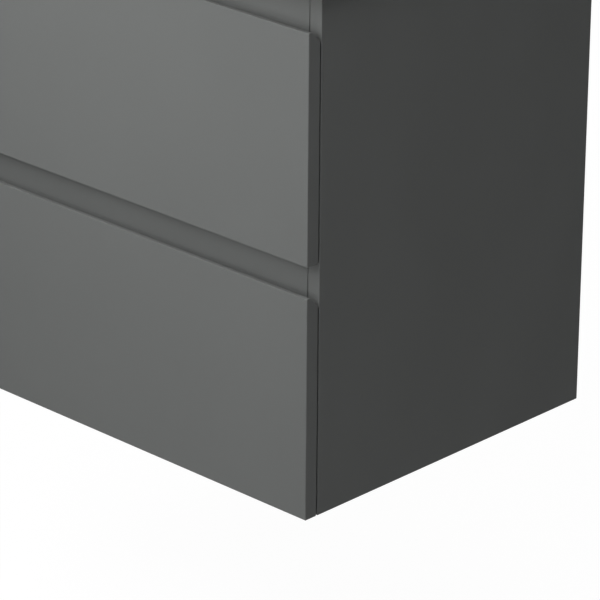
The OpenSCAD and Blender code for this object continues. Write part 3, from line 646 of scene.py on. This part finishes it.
# %% Rings of the basin's skin
CORNER_STEPS = 10
BOWL_W, BOWL_D, BOWL_R, BOWL_Y = 500, 300, 70, -268
DECK_Z, RIM_Z, SLAB_Z, FLOOR_IN_Z = 647, 650, 630, 542
DRAFT, FILLET, WALL, LIP = 8, 30, 12, 3
BASIN_W, BASIN_D, BASIN_R = 820, 490, 14
BEND_Z = FLOOR_IN_Z + FILLET
FOOT_R = BOWL_R - DRAFT - FILLET
LEAN = DRAFT / (RIM_Z - BEND_Z)


def rounded_ring(width, depth, r, mid_y, z):
    """Points of a rounded rectangle that lies level; all rings have the same number."""
    points = []
    for turn, (across, along) in zip((0, 90, 180, 270), ((1, 1), (-1, 1), (-1, -1), (1, -1))):
        corner = across * (width / 2 - r), mid_y + along * (depth / 2 - r)
        points += [(*p, z) for p in arc(*corner, r, turn, turn + 90, CORNER_STEPS)]
    return points


def between(first, second, share):
    return [Vector(a).lerp(Vector(b), share) for a, b in zip(first, second)]


def bowl_ring(reach, z):
    """Level ring of the bowl; reach is how far it lies from the corner's centre."""
    more = 2 * (reach - BOWL_R)
    return rounded_ring(BOWL_W + more, BOWL_D + more, reach, BOWL_Y, z)


def wall_ring(z, out=0):
    """Ring of the bowl's drafted wall, or of its outside."""
    return bowl_ring(FOOT_R + FILLET + out + LEAN * (z - BEND_Z), z)


def round_hole(r, z):
    return rounded_ring(2 * r, 2 * r, r, BOWL_Y, z)


def slab_ring(inset, z, r=None):
    sizes = BASIN_W - 2 * inset, BASIN_D - 2 * inset, r or BASIN_R - inset
    return rounded_ring(*sizes, -BASIN_D / 2, z)


print("ring points", len(wall_ring(DECK_Z)))

# %% Loft the basin from the drain outwards and back under it
DRAIN = [(22.5, 522.6), (22.5, 538), (23.5, 539), (31.6, 539), (32.4, 539.6), (32.7, 540.6)]
BOSS = [(36, 530), (34.5, 528.5), (34.5, 523), (33.5, 522), (23.1, 522)]
seat, floor_edge = round_hole(33.3, FLOOR_IN_Z - 0.8), bowl_ring(FOOT_R, FLOOR_IN_Z)
mouth_r = FOOT_R + FILLET + LEAN * (DECK_Z - BEND_Z)

inside = [round_hole(*p) for p in DRAIN]
inside += [seat] + [between(seat, floor_edge, s) for s in (0.15, 0.4, 0.7)]
inside += [bowl_ring(*p) for p in arc(FOOT_R, BEND_Z, FILLET, -90, 0, 10)]
inside += [wall_ring(z) for z in (600, 625, DECK_Z - LIP)]
inside += [bowl_ring(*p) for p in arc(mouth_r + LIP, DECK_Z - LIP, LIP, 165, 90, 5)]
inside += [between(inside[-1], slab_ring(15, DECK_Z, 11), s) for s in (0.3, 0.65)]
inside += [slab_ring(26 - r, z, r) for r, z in arc(11, RIM_Z, 3, -90, -18, 4)]
inside += [slab_ring(11.6, RIM_Z - 0.35, 14), slab_ring(11.2, RIM_Z, 13.6)]

outside = [slab_ring(BASIN_R - r, z) for r, z in arc(BASIN_R - 4, RIM_Z - 4, 4, 90, 0, 6)]
outside += [slab_ring(0, SLAB_Z + 2), slab_ring(0.6, SLAB_Z + 0.6), slab_ring(2, SLAB_Z)]
outside += [wall_ring(z, WALL) for z in (SLAB_Z, 600, BEND_Z)]
outside += [bowl_ring(*p) for p in arc(FOOT_R, BEND_Z, FILLET + WALL, -9, -90, 9)]
boss = [round_hole(*p) for p in BOSS]
outside += [between(outside[-1], boss[0], 0.5), *boss]

basin = bmesh.new()
skin(basin, inside + outside, closed=True)
bmesh.ops.remove_doubles(basin, verts=basin.verts, dist=0.0005)
bmesh.ops.recalc_face_normals(basin, faces=basin.faces)
print("basin rings", len(inside + outside), "faces", len(basin.faces))

# %% Overflow duct, tap hole and overflow hole
TAP_Y, OVERFLOW_Z = -59.5, 613
duct = pushed(rectangle(-23, 23, -119, -102), "z", 552, 631)
ease(duct, 2.5, 3)
basin = combine(basin, duct, "UNION")
holes = bmesh.new()
tap_hole = [(0, -2), (17.5, -2), (17.5, 15), (18.1, 16.4), (19.5, 17), (19.5, 25), (0, 25)]
lathe(holes, tap_hole, Matrix.Translation((0, TAP_Y, SLAB_Z)), 48)
overflow = [(0, 0), (11, 0), (11, 26), (0, 26)]
lathe(holes, overflow, facing((0, -134, OVERFLOW_Z), (0, 1, 0)), 32, kind=1)
basin = combine(basin, holes)
for face in basin.faces:
    middle = face.calc_center_median()
    if middle.z < SLAB_Z + 0.01 and face.normal.z < -0.9 and abs(middle.x) < 409:
        face.material_index = 1 if middle.z > 629 or middle.z < 522.1 else 0
piece("glazed_basin", basin, ("ceramic", glaze, bisque), "basin", smooth_to=40)

trim = [(8, -10), (9.5, -10), (9.5, 0.1), (14, 0.2), (14.05, 0.9), (13.4, 1.6), (12, 2.25)]
trim += [(11, 2.4), (10, 2.35), (8.9, 1.9), (8.2, 1.2), (8, 0.4)]
place = Matrix.Translation((0, -118 - LEAN * (RIM_Z - OVERFLOW_Z), OVERFLOW_Z))
place @= Matrix.Rotation(math.pi / 2 - math.atan(LEAN), 4, "X")
ring = bmesh.new()
lathe(ring, trim, place, 48, closed=True)
piece("chromed_overflow_ring", ring, ("chrome_trim", chrome), "overflow_ring")
print("the overflow ring leans 1 in", round(1 / LEAN, 1))

# %% [markdown]
# ## Boards
# Side panels and fronts are sawn from board, their edges eased so that the lacquer holds, and then
# sprayed; the inner faces stay melamine. Each blank takes its size from its CAD node, and each of
# its sides gets the finish it really has. One finish for the whole board would be simpler, but open
# drawers show the difference.


# %% Sawn, eased and drilled boards
INSIDE, BAND, CORE = 1, 2, 3
SPRAYED = ("lacquered_board", lacquer, melamine_dark, band_dark, chipboard)
CARCASS = ("carcass_board", melamine_dark, melamine_dark, band_dark, chipboard)
DRAWER = ("drawer_board", melamine_mid, melamine_mid, band_mid, chipboard)
EDGES = {"z_up": BAND, "z_down": BAND}
SAWN_ENDS = {"x_up": CORE, "x_down": CORE}
HANDS = {"left": -1, "right": 1}
SIDES = tuple(HANDS.values())


def board(name, node, look, holes, cuts=(), eased=0.8, body="root", **kinds):
    """A board as big as its CAD node; kinds give finish numbers to sides such as z_down."""
    low, high = extent(node)
    form = pushed(rectangle(low.x, high.x, low.y, high.y), "z", low.z, high.z)
    ease(form, eased, 3)
    for face in form.faces:
        axis = max(range(3), key=lambda i: abs(face.normal[i]))
        side = "xyz"[axis] + ("_up" if face.normal[axis] > 0 else "_down")
        face.material_index = kinds.get(side, 0)
    piece(name, cut(form, holes, cuts, CORE), look, node, body)


print("a board's finishes", [one.name for one in SPRAYED[1:]])

# %% Side panels
DOWELS = [(-60, 9), (-230, 9), (-400, 9), (-451, 582), (-451, 616), (-451, 269), (-451, 319)]
DOWELS += [(-29, 551), (-29, 585), (-9, 32), (-9, 84)]
CAM_BOLTS = [(-95, 9), (-365, 9), (-451, 599), (-451, 294), (-29, 568), (-9, 58)]
INNER_X = 382
SLIDE_MIDS = {"lower": 87, "upper": 402}
CABINET_SCREWS = (-420, -292, -132)
PEGS = [(-80.2, 580.3), (-54.2, 580.3), (-54.2, 604.3)]
RUNNER_PILOT = (4.1, 11.3)

runner_screws = [(y, mid) for mid in SLIDE_MIDS.values() for y in CABINET_SCREWS]
side_holes = sized(DOWELS, (8.1, 10.2)) + sized(CAM_BOLTS, (6.1, 11.2))
side_holes += sized(runner_screws, RUNNER_PILOT) + sized(PEGS, (10.1, 10.2))
for hand, side in HANDS.items():
    kinds = {"x_up" if side < 0 else "x_down": INSIDE, "y_up": BAND, **EDGES}
    holes = [((side * INNER_X, y, z), (-side, 0, 0), size) for y, z, size in side_holes]
    board(f"side_board_{hand}", f"side_panel_{hand}", SPRAYED, holes, **kinds)
print("holes in a side panel", len(side_holes))

# %% Boards between the side panels
CAM_X, HALF_BOARD = 348, 9
DOWEL_IN_END, CAM_POCKET, WALL_BOLT = (8.1, 20.8), (15.1, 12.5), (8.5, 19)


def cam_face(side, y, z):
    """Where a cam shows and looks: up from the bottom board, towards the wall from the others."""
    look = Vector((0, 0, 1) if z == HALF_BOARD else (0, 1, 0))
    return Vector((side * CAM_X, y, z)) + HALF_BOARD * look, look


def cross_board(name, node, look, extra=(), cuts=(), **kinds):
    """A board between the side panels, with holes for the dowels and bolts that meet its ends."""
    low, high = extent(node)
    holes = list(extra)
    for side in SIDES:
        for y, z in DOWELS + CAM_BOLTS:
            end = (side * high.x, y, z), (side, 0, 0)
            if not (low.y < y < high.y and low.z < z < high.z):
                continue
            if (y, z) in DOWELS:
                holes.append((*end, DOWEL_IN_END))
            else:
                holes += [(*end, (6.1, high.x - CAM_X)), (*cam_face(side, y, z), CAM_POCKET)]
    board(name, node, look, holes, cuts, **kinds)


notches = [(rectangle(side * 360, side * 390, 596, 650), "y", -50, -10) for side in SIDES]
wall_bolts = [((side * 260, -18, 58), (0, -1, 0), WALL_BOLT) for side in SIDES]
cross_board("bottom_board", "bottom_panel", SPRAYED, z_up=INSIDE, z_down=INSIDE, y_up=BAND)
cross_board("top_front_board", "top_front_rail", SPRAYED, y_up=INSIDE)
cross_board("middle_board", "middle_rail", SPRAYED, y_up=INSIDE)
cross_board("top_back_rail_board", "top_back_rail", CARCASS, (), notches, **EDGES)
cross_board("lower_back_rail_board", "lower_back_rail", CARCASS, wall_bolts, **EDGES)
print("carcass boards", count("_board"))

# %% [markdown]
# ## Drawer fronts
# A handle-less front is gripped behind its top edge. The board keeps a flat land at the face and
# is cut away at 45 degrees behind it, which leaves room for fingers and makes the edge look thin.
# A routed groove would also do, but the bevel is what the dark line in the photograph shows.

# %% Saw, bevel and spray the fronts
FRONT_Y, FRONT_BACK_Y = -480, -462
FRONT_H, LAND, BEVEL = 275, 5, 13
FRONTS_Z = {"lower": 0, "upper": 313}
BOXES_Z = {"lower": 32, "upper": 347}
BOXES_H = {"lower": 180, "upper": 110}
BOX_X, BOX_IN_X, BOX_BACK_Y = 369.3, 354.3, -62
BRACKET_UP, BRACKET_H, BRACKET_T, BRACKET_HOLE = 26, 60, 2, 16
BRACKET_PILOT = (4.1, 10.5)


def bracket_screws(name, side, off=0):
    """Places and directions of a bracket's screws, in the front and in the drawer's side."""
    places = []
    for up in (15, 45):
        z = BOXES_Z[name] + BRACKET_UP + up
        places.append(((side * (BOX_IN_X - BRACKET_HOLE), FRONT_BACK_Y + off, z), (0, 1, 0)))
        places.append(((side * (BOX_IN_X - off), FRONT_BACK_Y + BRACKET_HOLE, z), (-side, 0, 0)))
    return places


for name, low in FRONTS_Z.items():
    top = low + FRONT_H
    outline = [(FRONT_Y, low), (FRONT_BACK_Y, low), (FRONT_BACK_Y, top - BEVEL)]
    outline += [(FRONT_Y + LAND, top), (FRONT_Y, top)]
    front = pushed(outline, "x", -400, 400)
    ease(front, 1, 4)
    for face in front.faces:
        face.material_index = INSIDE if face.normal.y > 0.9 else 0
    places = [place for side in SIDES for place in bracket_screws(name, side)[::2]]
    front = cut(front, sized(places, BRACKET_PILOT), kind=CORE)
    piece(f"{name}_front_board", front, SPRAYED, f"{name}_front", f"{name}_drawer")
    print(name, "front from", low, "to", top)

# %% [markdown]
# ## Drawer boxes
# A drawer box is four thin boards around a base that sits in grooves. The upper one is cut out at
# the back to clear the waste trap, and a moulded wall closes the cut. A box could be hollowed from
# one block, but separate boards show their joints, their banded edges and the raw grooves.

# %% Sides of the drawers
RUNNER_SCREWS = (-397, -257, -97)
BACK_MID_Y, BACK_X = -69.5, 354.1
BACK_HOLE, BACK_PILOT = (4.1, 14.9), (4.1, 15.6)


def back_screws(name, side, x=BOX_X):
    """Places and directions of the screws that hold a drawer's back to one of its sides."""
    levels = BOXES_Z[name] + 24, BOXES_Z[name] + BOXES_H[name] - 12
    return [((side * x, BACK_MID_Y, z), (side, 0, 0)) for z in levels]


def drawer_board(name, node, *rest, **kinds):
    board(name, node, DRAWER, *rest, body=node.split("_")[0] + "_drawer", **kinds)


edges = {"y_up": BAND, "y_down": BAND, **EDGES}
for name, z in BOXES_Z.items():
    for hand, side in HANDS.items():
        places = [((side * BOX_X, y, SLIDE_MIDS[name]), (side, 0, 0)) for y in RUNNER_SCREWS]
        holes = sized(places, RUNNER_PILOT) + sized(back_screws(name, side), BACK_HOLE)
        holes += sized(bracket_screws(name, side)[1::2], BRACKET_PILOT)
        groove = rectangle(side * (BOX_IN_X - 1), side * (BOX_IN_X + 6), z + 9.8, z + 18.2)
        cuts = [(groove, "y", -470, -50)]
        drawer_board(f"{name}_side_board_{hand}", f"{name}_side_{hand}", holes, cuts, 0.7, **edges)
print("each side has", len(holes), "holes")

# %% Bases and backs
TRAP_HALF, TRAP_DEPTH, TRAP_R, TRAP_WALL = 100, 170, 40, 12


def trap_plan(grow, back_y):
    """Points around the trap's cut-out, from its back left end to its back right end."""
    half, r = TRAP_HALF + grow, TRAP_R + grow
    mid_x, mid_y = half - r, BOX_BACK_Y - TRAP_DEPTH - grow + r
    round_left = arc(-mid_x, mid_y, r, 180, 270, 10)
    return [(-half, back_y), *round_left, *arc(mid_x, mid_y, r, 270, 360, 10), (half, back_y)]


raw = {"y_up": CORE, "y_down": CORE, **SAWN_ENDS}
for name, cuts in (("upper", [(trap_plan(0, -50), "z", 350, 370)]), ("lower", ())):
    drawer_board(f"{name}_base_board", f"{name}_bottom", (), cuts, 0.3, **raw)
for node, sides in (("upper_back_left", (-1,)), ("upper_back_right", (1,)), ("lower_back", SIDES)):
    places = [place for side in sides for place in back_screws(node.split("_")[0], side, BACK_X)]
    holes = sized(places, BACK_PILOT)
    drawer_board(node + "_board", node, holes, (), 0.6, z_up=BAND, z_down=CORE, **SAWN_ENDS)
print("boards in all", count("_board"))

# %% Moulded wall around the trap
low, high = extent("trap_surround")
outer, inner = trap_plan(TRAP_WALL, BOX_BACK_Y), trap_plan(0, BOX_BACK_Y)
wall = pushed(outer + inner[::-1], "z", low.z, high.z)
ease(wall, 4, 5, 60, lambda edge: min(v.co.z for v in edge.verts) > high.z - 0.01)
around = trap_plan(TRAP_WALL + 2, -50) + trap_plan(TRAP_WALL - 0.8, -50)[::-1]
wall = cut(wall, (), [(around, "z", high.z - 9, high.z - 7.6)])
plastic = ("surround_plastic", surround_plastic)
piece("trap_wall", wall, plastic, "trap_surround", "upper_drawer", 30)
print("trap wall", [round(c, 1) for c in high - low])

# %% [markdown]
# ## Screws, connectors and dowels
# The screws have a rolled thread and a cross recess, the cams turn in round pockets and pull a
# bolt, and the dowels are fluted to let the glue out. Each form is made once and stamped wherever
# one sits. Instances would be lighter, but one mesh for each CAD node rides as one.


# %% Threads and cross recesses
def threaded(bm, r, root, start, end, pitch, tip=0.0, steps=16):
    """A threaded shank along the Z axis, from start down to end; it tapers over the tip."""
    rows = int((start - end) / pitch * 6)
    rings = []
    for row in range(rows + 1):
        h = start + (end - start) * row / rows
        taper = 1 if tip <= 0 else min(1, (h - end) / tip * 0.85 + 0.15)
        phases = [(h / pitch - i / steps) % 1 for i in range(steps)]
        crests = [max(0, 1 - abs(2 * phase - 1) * 2) for phase in phases]
        rings.append(turned([(root + (r - root) * crest) * taper for crest in crests], h))
    skin(bm, rings, caps=True)


def cross_recess(bm, top, reach, width, depth):
    """Presses a cross recess that narrows downwards into a flat top."""
    low, high = width * 0.3, width / 2
    outline = [(-low, top - depth), (low, top - depth), (high, top + 0.5), (-high, top + 0.5)]
    for turn in (0, 90):
        arm = pushed(outline, "x", -reach, reach)
        for vert in arm.verts:
            if vert.co.z < top:
                vert.co.x *= 0.45
        arm.transform(Matrix.Rotation(math.radians(turn), 4, "Z"))
        bm = combine(bm, arm)
    return bm


def screw_form(head, length, reach, recess, r=2.0):
    """A screw on z = 0 with its shank below; head is its profile of (radius, height)."""
    bm = bmesh.new()
    lathe(bm, head, steps=32)
    bm = cross_recess(bm, head[-1][1], reach, 0.95, recess)
    threaded(bm, r, r * 0.68, 0.2, -length, 1.5, 3 if length > 10 else 1)
    return kept_form("screw", bm)


runner_head = [(0, 0), (3.9, 0), (4, 0.12), (3.95, 0.5), (3.7, 0.75), (3.2, 0.85), (0, 0.85)]
round_head = [(0, 0), (3.85, 0), (4, 0.2), (3.9, 0.8), (3.3, 1.35), (2.2, 1.58), (0, 1.6)]
adjuster_head = [(0, 0), (4.3, 0), (4.5, 0.3), (4.5, 1.5), (4.2, 1.9), (3.8, 2), (0, 2)]
SCREWS = {
    "runner": screw_form(runner_head, 12, 2.2, 0.6),
    "bracket": screw_form(round_head, 12, 2.2, 1.1),
    "back": screw_form(round_head, 30, 2.2, 1.1),
    "adjuster": screw_form(adjuster_head, 10, 2.8, 1.3, 3.0),
}
print({name: len(mesh.polygons) for name, mesh in SCREWS.items()})


# %% Screw the runners, brackets, backs and hangers
SLIDE_T = 1.2
FASTENER = ("fastener_zinc", screw_zinc)


def screwed(name, node, places, body="root"):
    bm = bmesh.new()
    for kind, at, look in places:
        stamp(bm, SCREWS[kind], facing(at, look))
    piece(name, bm, FASTENER, node, body, 40)
    print(name, len(places))


ADJUSTERS = [(side * 374, -96.2, z) for side in SIDES for z in (578.3, 596.3)]
x = INNER_X - SLIDE_T
places = [("runner", (s * x, y, z), (-s, 0, 0)) for s in SIDES for y, z in runner_screws]
screwed("cabinet_runner_screws", "slide_screws", places)
places = [("adjuster", at, (0, -1, 0)) for at in ADJUSTERS]
screwed("hanger_adjusting_screws", "hanger_screws", places)
for name, mid in SLIDE_MIDS.items():
    places = []
    for side in SIDES:
        places += [("bracket", *place) for place in bracket_screws(name, side, BRACKET_T)]
        places += [("back", *place) for place in back_screws(name, side)]
        for y in RUNNER_SCREWS:
            places.append(("runner", (side * (BOX_X + SLIDE_T), y, mid), (side, 0, 0)))
    screwed(f"{name}_drawer_screws", f"{name}_screws", places, f"{name}_drawer")

# %% Cams, bolts and dowels
cam = bmesh.new()
rim = [(0, -12.3), (7.1, -12.3), (7.5, -11.9), (7.5, -0.5), (7.1, 0), (6.4, 0), (6.2, -0.4)]
rim += [(0, -0.4)]
lathe(cam, rim, steps=40)
cam = cross_recess(cam, -0.4, 3.9, 1.6, 1.9)
cam = kept_form("cam", cut(cam, [((9, 0, -9), (1, 0, 0), (7, 9))]))

bolt = bmesh.new()
shank = [(0, 0), (2.4, 0), (3, 0.6), (3, 2), (2.4, 2.6), (1.7, 3), (1.7, 7.4), (2.6, 8), (2.6, 33)]
shank += [(3, 33.2), (3, 34), (2, 34), (0, 34)]
lathe(bolt, shank, steps=20)
threaded(bolt, 3, 2.2, 45, 33.5, 1.8)
bolt = kept_form("bolt", bolt)

dowel = bmesh.new()
ends = ((0, 0.9), (0.9, 0), (29.1, 0), (30, 0.9))
rings = [turned([(4 if i % 3 else 3.72) - less for i in range(36)], h) for h, less in ends]
skin(dowel, rings, caps=True)
dowel = kept_form("dowel", dowel)

cams, bolts, dowels = bmesh.new(), bmesh.new(), bmesh.new()
for side in SIDES:
    for y, z in CAM_BOLTS:
        place = facing(*cam_face(side, y, z))
        towards = place.inverted().to_3x3() @ Vector((side, 0, 0))
        spin = Matrix.Rotation(math.atan2(towards.y, towards.x), 4, "Z")
        stamp(cams, cam, place @ spin)
        stamp(bolts, bolt, facing((side * CAM_X, y, z), (side, 0, 0)))
    for y, z in DOWELS:
        stamp(dowels, dowel, facing((side * 362, y, z), (side, 0, 0)))
piece("connector_cams", cams, FASTENER, "cam_discs", smooth_to=40)
piece("connector_bolts", bolts, FASTENER, "cam_bolts", smooth_to=40)
piece("fluted_dowels", dowels, ("beech", beech), "dowels", smooth_to=60)
print(len(DOWELS), "dowels and", len(CAM_BOLTS), "connectors on each side")

# %% [markdown]
# ## Ball runners
# A full-extension runner is three rolled steel members, one inside the other, with two rows of
# balls between each pair. A cage keeps the balls apart and rolls at half the speed of the member
# it carries. The outlines could be drawn point by point, but bending a strip along the middle of
# its sheet gives the even thickness and round bends of a rolling mill.


# %% Profiles of the members
def strip(path, thickness):
    """Outline of a sheet whose middle follows a path."""
    sides = ([], [])
    for i, point in enumerate(path):
        before = Vector(path[max(i - 1, 0)])
        after = Vector(path[min(i + 1, len(path) - 1)])
        run = (after - before).normalized()
        for side, sign in zip(sides, (1, -1)):
            side.append(tuple(Vector(point) + sign * thickness / 2 * Vector((-run.y, run.x))))
    return sides[0] + sides[1][::-1]


def mirrored(path):
    """A path down to the middle, carried on to the matching lower end."""
    return path + [(u, -v) for u, v in reversed(path)]


SLIDE_W, RACE_R, BALL_R, BEND = 12.7, 2.2, 1.9, 1.3
BALL_U, OUTER_V, INNER_V = 6.95, 19.1, 13.5
MIDDLE_U, LIP_U, LIP_V, TOP_V = 3.25, 9.55, 14.1, 17.637
mid_r = RACE_R + SLIDE_T / 2
roof_v = OUTER_V + mid_r
cabinet_path = arc(BALL_U, OUTER_V, mid_r, -20, 90, 10)
cabinet_path += arc(SLIDE_T / 2 + BEND, roof_v - BEND, BEND, 90, 180, 5)
drawer_path = arc(BALL_U, INNER_V, mid_r, -117, -90, 3)
drawer_path += arc(SLIDE_W - SLIDE_T / 2 - BEND, INNER_V - mid_r - BEND, BEND, 90, 0, 5)
middle_half = [(MIDDLE_U + SLIDE_T, LIP_V), *arc(BALL_U, INNER_V, RACE_R, 163.6, 16.4, 10)]
middle_half += [(LIP_U, LIP_V), (LIP_U, TOP_V)]
middle_half += [*arc(BALL_U, OUTER_V, RACE_R, -41.7, -138.3, 8), (MIDDLE_U, TOP_V)]
PROFILES = {
    "cabinet": strip(mirrored(cabinet_path), SLIDE_T),
    "middle": mirrored(middle_half),
    "drawer": strip(mirrored(drawer_path), SLIDE_T),
}
print({name: len(outline) for name, outline in PROFILES.items()})


# %% Roll the members and punch their holes
SLIDE_START, SLIDE_END = -457, -57
RUNNERS = [(level, mid, *one) for level, mid in SLIDE_MIDS.items() for one in HANDS.items()]


def oval(mid_a, mid_b, long, wide):
    r, reach = wide / 2, (long - wide) / 2
    return arc(mid_a + reach, mid_b, r, -90, 90, 8) + arc(mid_a - reach, mid_b, r, 90, 270, 8)


MEMBER_HOLES = {
    "cabinet": [(y, 4.4, 4.4) for y in CABINET_SCREWS]
    + [(y, 10, 4.6) for y in (-372, -328, -228, -180)] + [(y, 6, 6) for y in (-444, -84)],
    "middle": [(y, 24, 9) for y in (-417, -337, -217, -137)],
    "drawer": [(y, 4.4, 4.4) for y in RUNNER_SCREWS]
    + [(y, 10, 4.6) for y in (-430, -330, -180, -130)],
}
for level, mid, hand, side in RUNNERS:
    bodies = {"cabinet": "root", "middle": f"{level}_middle_{hand}", "drawer": f"{level}_drawer"}
    for kind, outline in PROFILES.items():
        points = [(side * (INNER_X - u), mid + v) for u, v in outline]
        web = "x", side * (INNER_X - SLIDE_W - 1), side * (INNER_X - min(outline)[0] + 1)
        holes = [(oval(y, mid, long, wide), *web) for y, long, wide in MEMBER_HOLES[kind]]
        rolled = cut(pushed(points, "y", SLIDE_START, SLIDE_END), (), holes)
        name, node = f"{kind}_member_{level}_{hand}", f"{kind}_slide_{level}_{hand}"
        piece(name, rolled, ("zinc_steel", runner_steel), node, bodies[kind], 28)
print("members", count("_member_"))

# %% Cages and balls
CAGE_T, CAGE_LEN, CAGE_MID, PITCH, BALLS = 0.6, 180, -257, 22, 8
CAGES = ("outer", 2.35, OUTER_V), ("inner", 4.75, INNER_V)
ball = bmesh.new()
lathe(ball, arc(0, 0, BALL_R, -90, 90, 10), steps=16)
ball = kept_form("ball", ball)
ball_rows = [CAGE_MID + (i - (BALLS - 1) / 2) * PITCH for i in range(BALLS)]
cages = [(*runner, *cage) for runner in RUNNERS for cage in CAGES]
for level, mid, hand, side, kind, cage_u, row_v in cages:
    path = [(BALL_U + 1, row_v), *arc(cage_u + CAGE_T / 2 + 0.5, row_v - 0.5, 0.5, 90, 180, 3)]
    points = [(side * (INNER_X - u), mid + v) for u, v in strip(mirrored(path), CAGE_T)]
    web = "x", side * (INNER_X - cage_u + 1), side * (INNER_X - cage_u - CAGE_T - 1)
    windows = [(oval(y + PITCH / 2, mid, 15, 12), *web) for y in ball_rows[:-1]]
    folded = pushed(points, "y", CAGE_MID - CAGE_LEN / 2, CAGE_MID + CAGE_LEN / 2)
    bm = cut(folded, (), windows)
    first = len(bm.faces)
    for y in ball_rows:
        for v in (-row_v, row_v):
            stamp(bm, ball, Matrix.Translation((side * (INNER_X - BALL_U), y, mid + v)))
    for i, face in enumerate(bm.faces):
        face.material_index = int(i >= first)
    body, node = f"{level}_{kind}_cage_{hand}", f"{kind}_cage_{level}_{hand}"
    look = ("cage_steel", runner_steel, ball_steel)
    piece(f"{kind}_balls_{level}_{hand}", bm, look, node, body, 40)
print("balls", 2 * len(cages) * BALLS)

# %% [markdown]
# ## Wall fixing and small parts
# The cabinet hangs by two moulded hangers, pegged into the side panels. A steel hook reaches from
# each over a rail that is bolted to the wall, and two screws set its height and depth. Angles of
# folded sheet hold the fronts, and soft buffers quiet them. Such parts could be sculpted, but sheet
# and mouldings keep one section, so an outline with eased edges is truer.

# %% Wall rail and hooks
RAIL_Z, RAIL_T, RAIL_BEND = 555, 2.5, 1.75
rail_path = [(-1.25, 0), *arc(-1.25 - RAIL_BEND, 33.75 - RAIL_BEND, RAIL_BEND, 0, 90, 5)]
rail_path += [*arc(-7.25 + RAIL_BEND, 33.75 + RAIL_BEND, RAIL_BEND, 270, 180, 5), (-7.25, 49)]
rail = pushed([(y, RAIL_Z + z) for y, z in strip(rail_path, RAIL_T)], "x", -372, 372)
rail = cut(rail, [((side * 260, -RAIL_T, 572), (0, -1, 0), (8.5, 4)) for side in SIDES])
ease(rail, 0.3, 2, 50)
piece("folded_wall_rail", rail, ("zinc_steel", rail_steel), "wall_rail", smooth_to=30)

FOLDED = ("zinc_steel", bracket_steel)
HOOK = [(-84.2, 604.3), (-5.7, 604.3), (-5.7, 594.3), (-0.3, 594.3), (-0.3, 609.3), (-3.3, 612.3)]
HOOK += [(-84.2, 612.3)]
for hand, side in HANDS.items():
    hook = pushed(HOOK, "x", side * 372, side * 376)
    ease(hook, 0.5, 3)
    piece(f"pressed_hook_{hand}", hook, FOLDED, f"hook_{hand}")
print("hooks", count("pressed_hook"))

# %% Hangers
PEG = [(0, 0.2), (4.2, 0.2), (5, 1.4), (4.8, 3), (5, 3.4), (4.8, 5.2), (5, 5.6), (4.8, 7.4)]
PEG += [(5, 7.8), (5, 11), (0, 11)]
POCKETS = (-92, -70, 569, 573), (-66, -43, 569, 598), (-92, -70, 586, 589), (-92, -70, 600, 603)
for hand, side in HANDS.items():
    housing = pushed(rectangle(side * 366, side * 382, -96.2, -38.2), "z", 566.3, 618.3)
    ease(housing, 1.2, 3)
    holes = [(at, (0, -1, 0), (6.2, 10.3)) for at in ADJUSTERS if at[0] * side > 0]
    cuts = [(rectangle(side * 371.8, side * 376.2, -84.4, -37), "z", 604.1, 612.5)]
    cuts += [(rectangle(*pocket), "x", side * 365, side * 367.6) for pocket in POCKETS]
    housing = cut(housing, holes, cuts)
    for y, z in PEGS:
        lathe(housing, PEG, facing((side * 392, y, z), (-side, 0, 0)))
    piece(f"moulded_hanger_{hand}", housing, ("housing_plastic", housing_plastic), f"hanger_{hand}")
print("hangers", count("moulded_hanger"))

# %% Brackets and buffers
DOME = [(0, 0), (3.9, 0), (4, 0.15), (3.95, 0.6), (3.6, 1.1), (2.8, 1.5), (1.6, 1.74), (0, 1.8)]
folded_angle = strip([(26, 1), *arc(3, 3, 2, 270, 180, 5), (1, 26)], BRACKET_T)
for name, z in BOXES_Z.items():
    brackets, buffers = bmesh.new(), bmesh.new()
    low = z + BRACKET_UP
    for side in SIDES:
        points = [(side * (BOX_IN_X - a), FRONT_BACK_Y + b) for a, b in folded_angle]
        angle = pushed(points, "z", low, low + BRACKET_H)
        ease(angle, 4, 4, 80, lambda edge: edge.calc_length() < 2.2)
        angle = cut(angle, sized(bracket_screws(name, side, BRACKET_T), (4.4, 3)))
        ease(angle, 0.25, 2, 50)
        brackets.from_mesh(kept_form("angle", angle))
        for up in (25, 237):
            at = (side * 391, FRONT_BACK_Y, FRONTS_Z[name] + up)
            lathe(buffers, DOME, facing(at, (0, 1, 0)), 32)
    body = f"{name}_drawer"
    piece(f"{name}_folded_angles", brackets, FOLDED, f"{name}_brackets", body)
    look = ("clear_rubber", buffer_rubber)
    piece(f"{name}_soft_buffers", buffers, look, f"{name}_buffers", body, 50)
print("sets of buffers", count("_soft_buffers"))
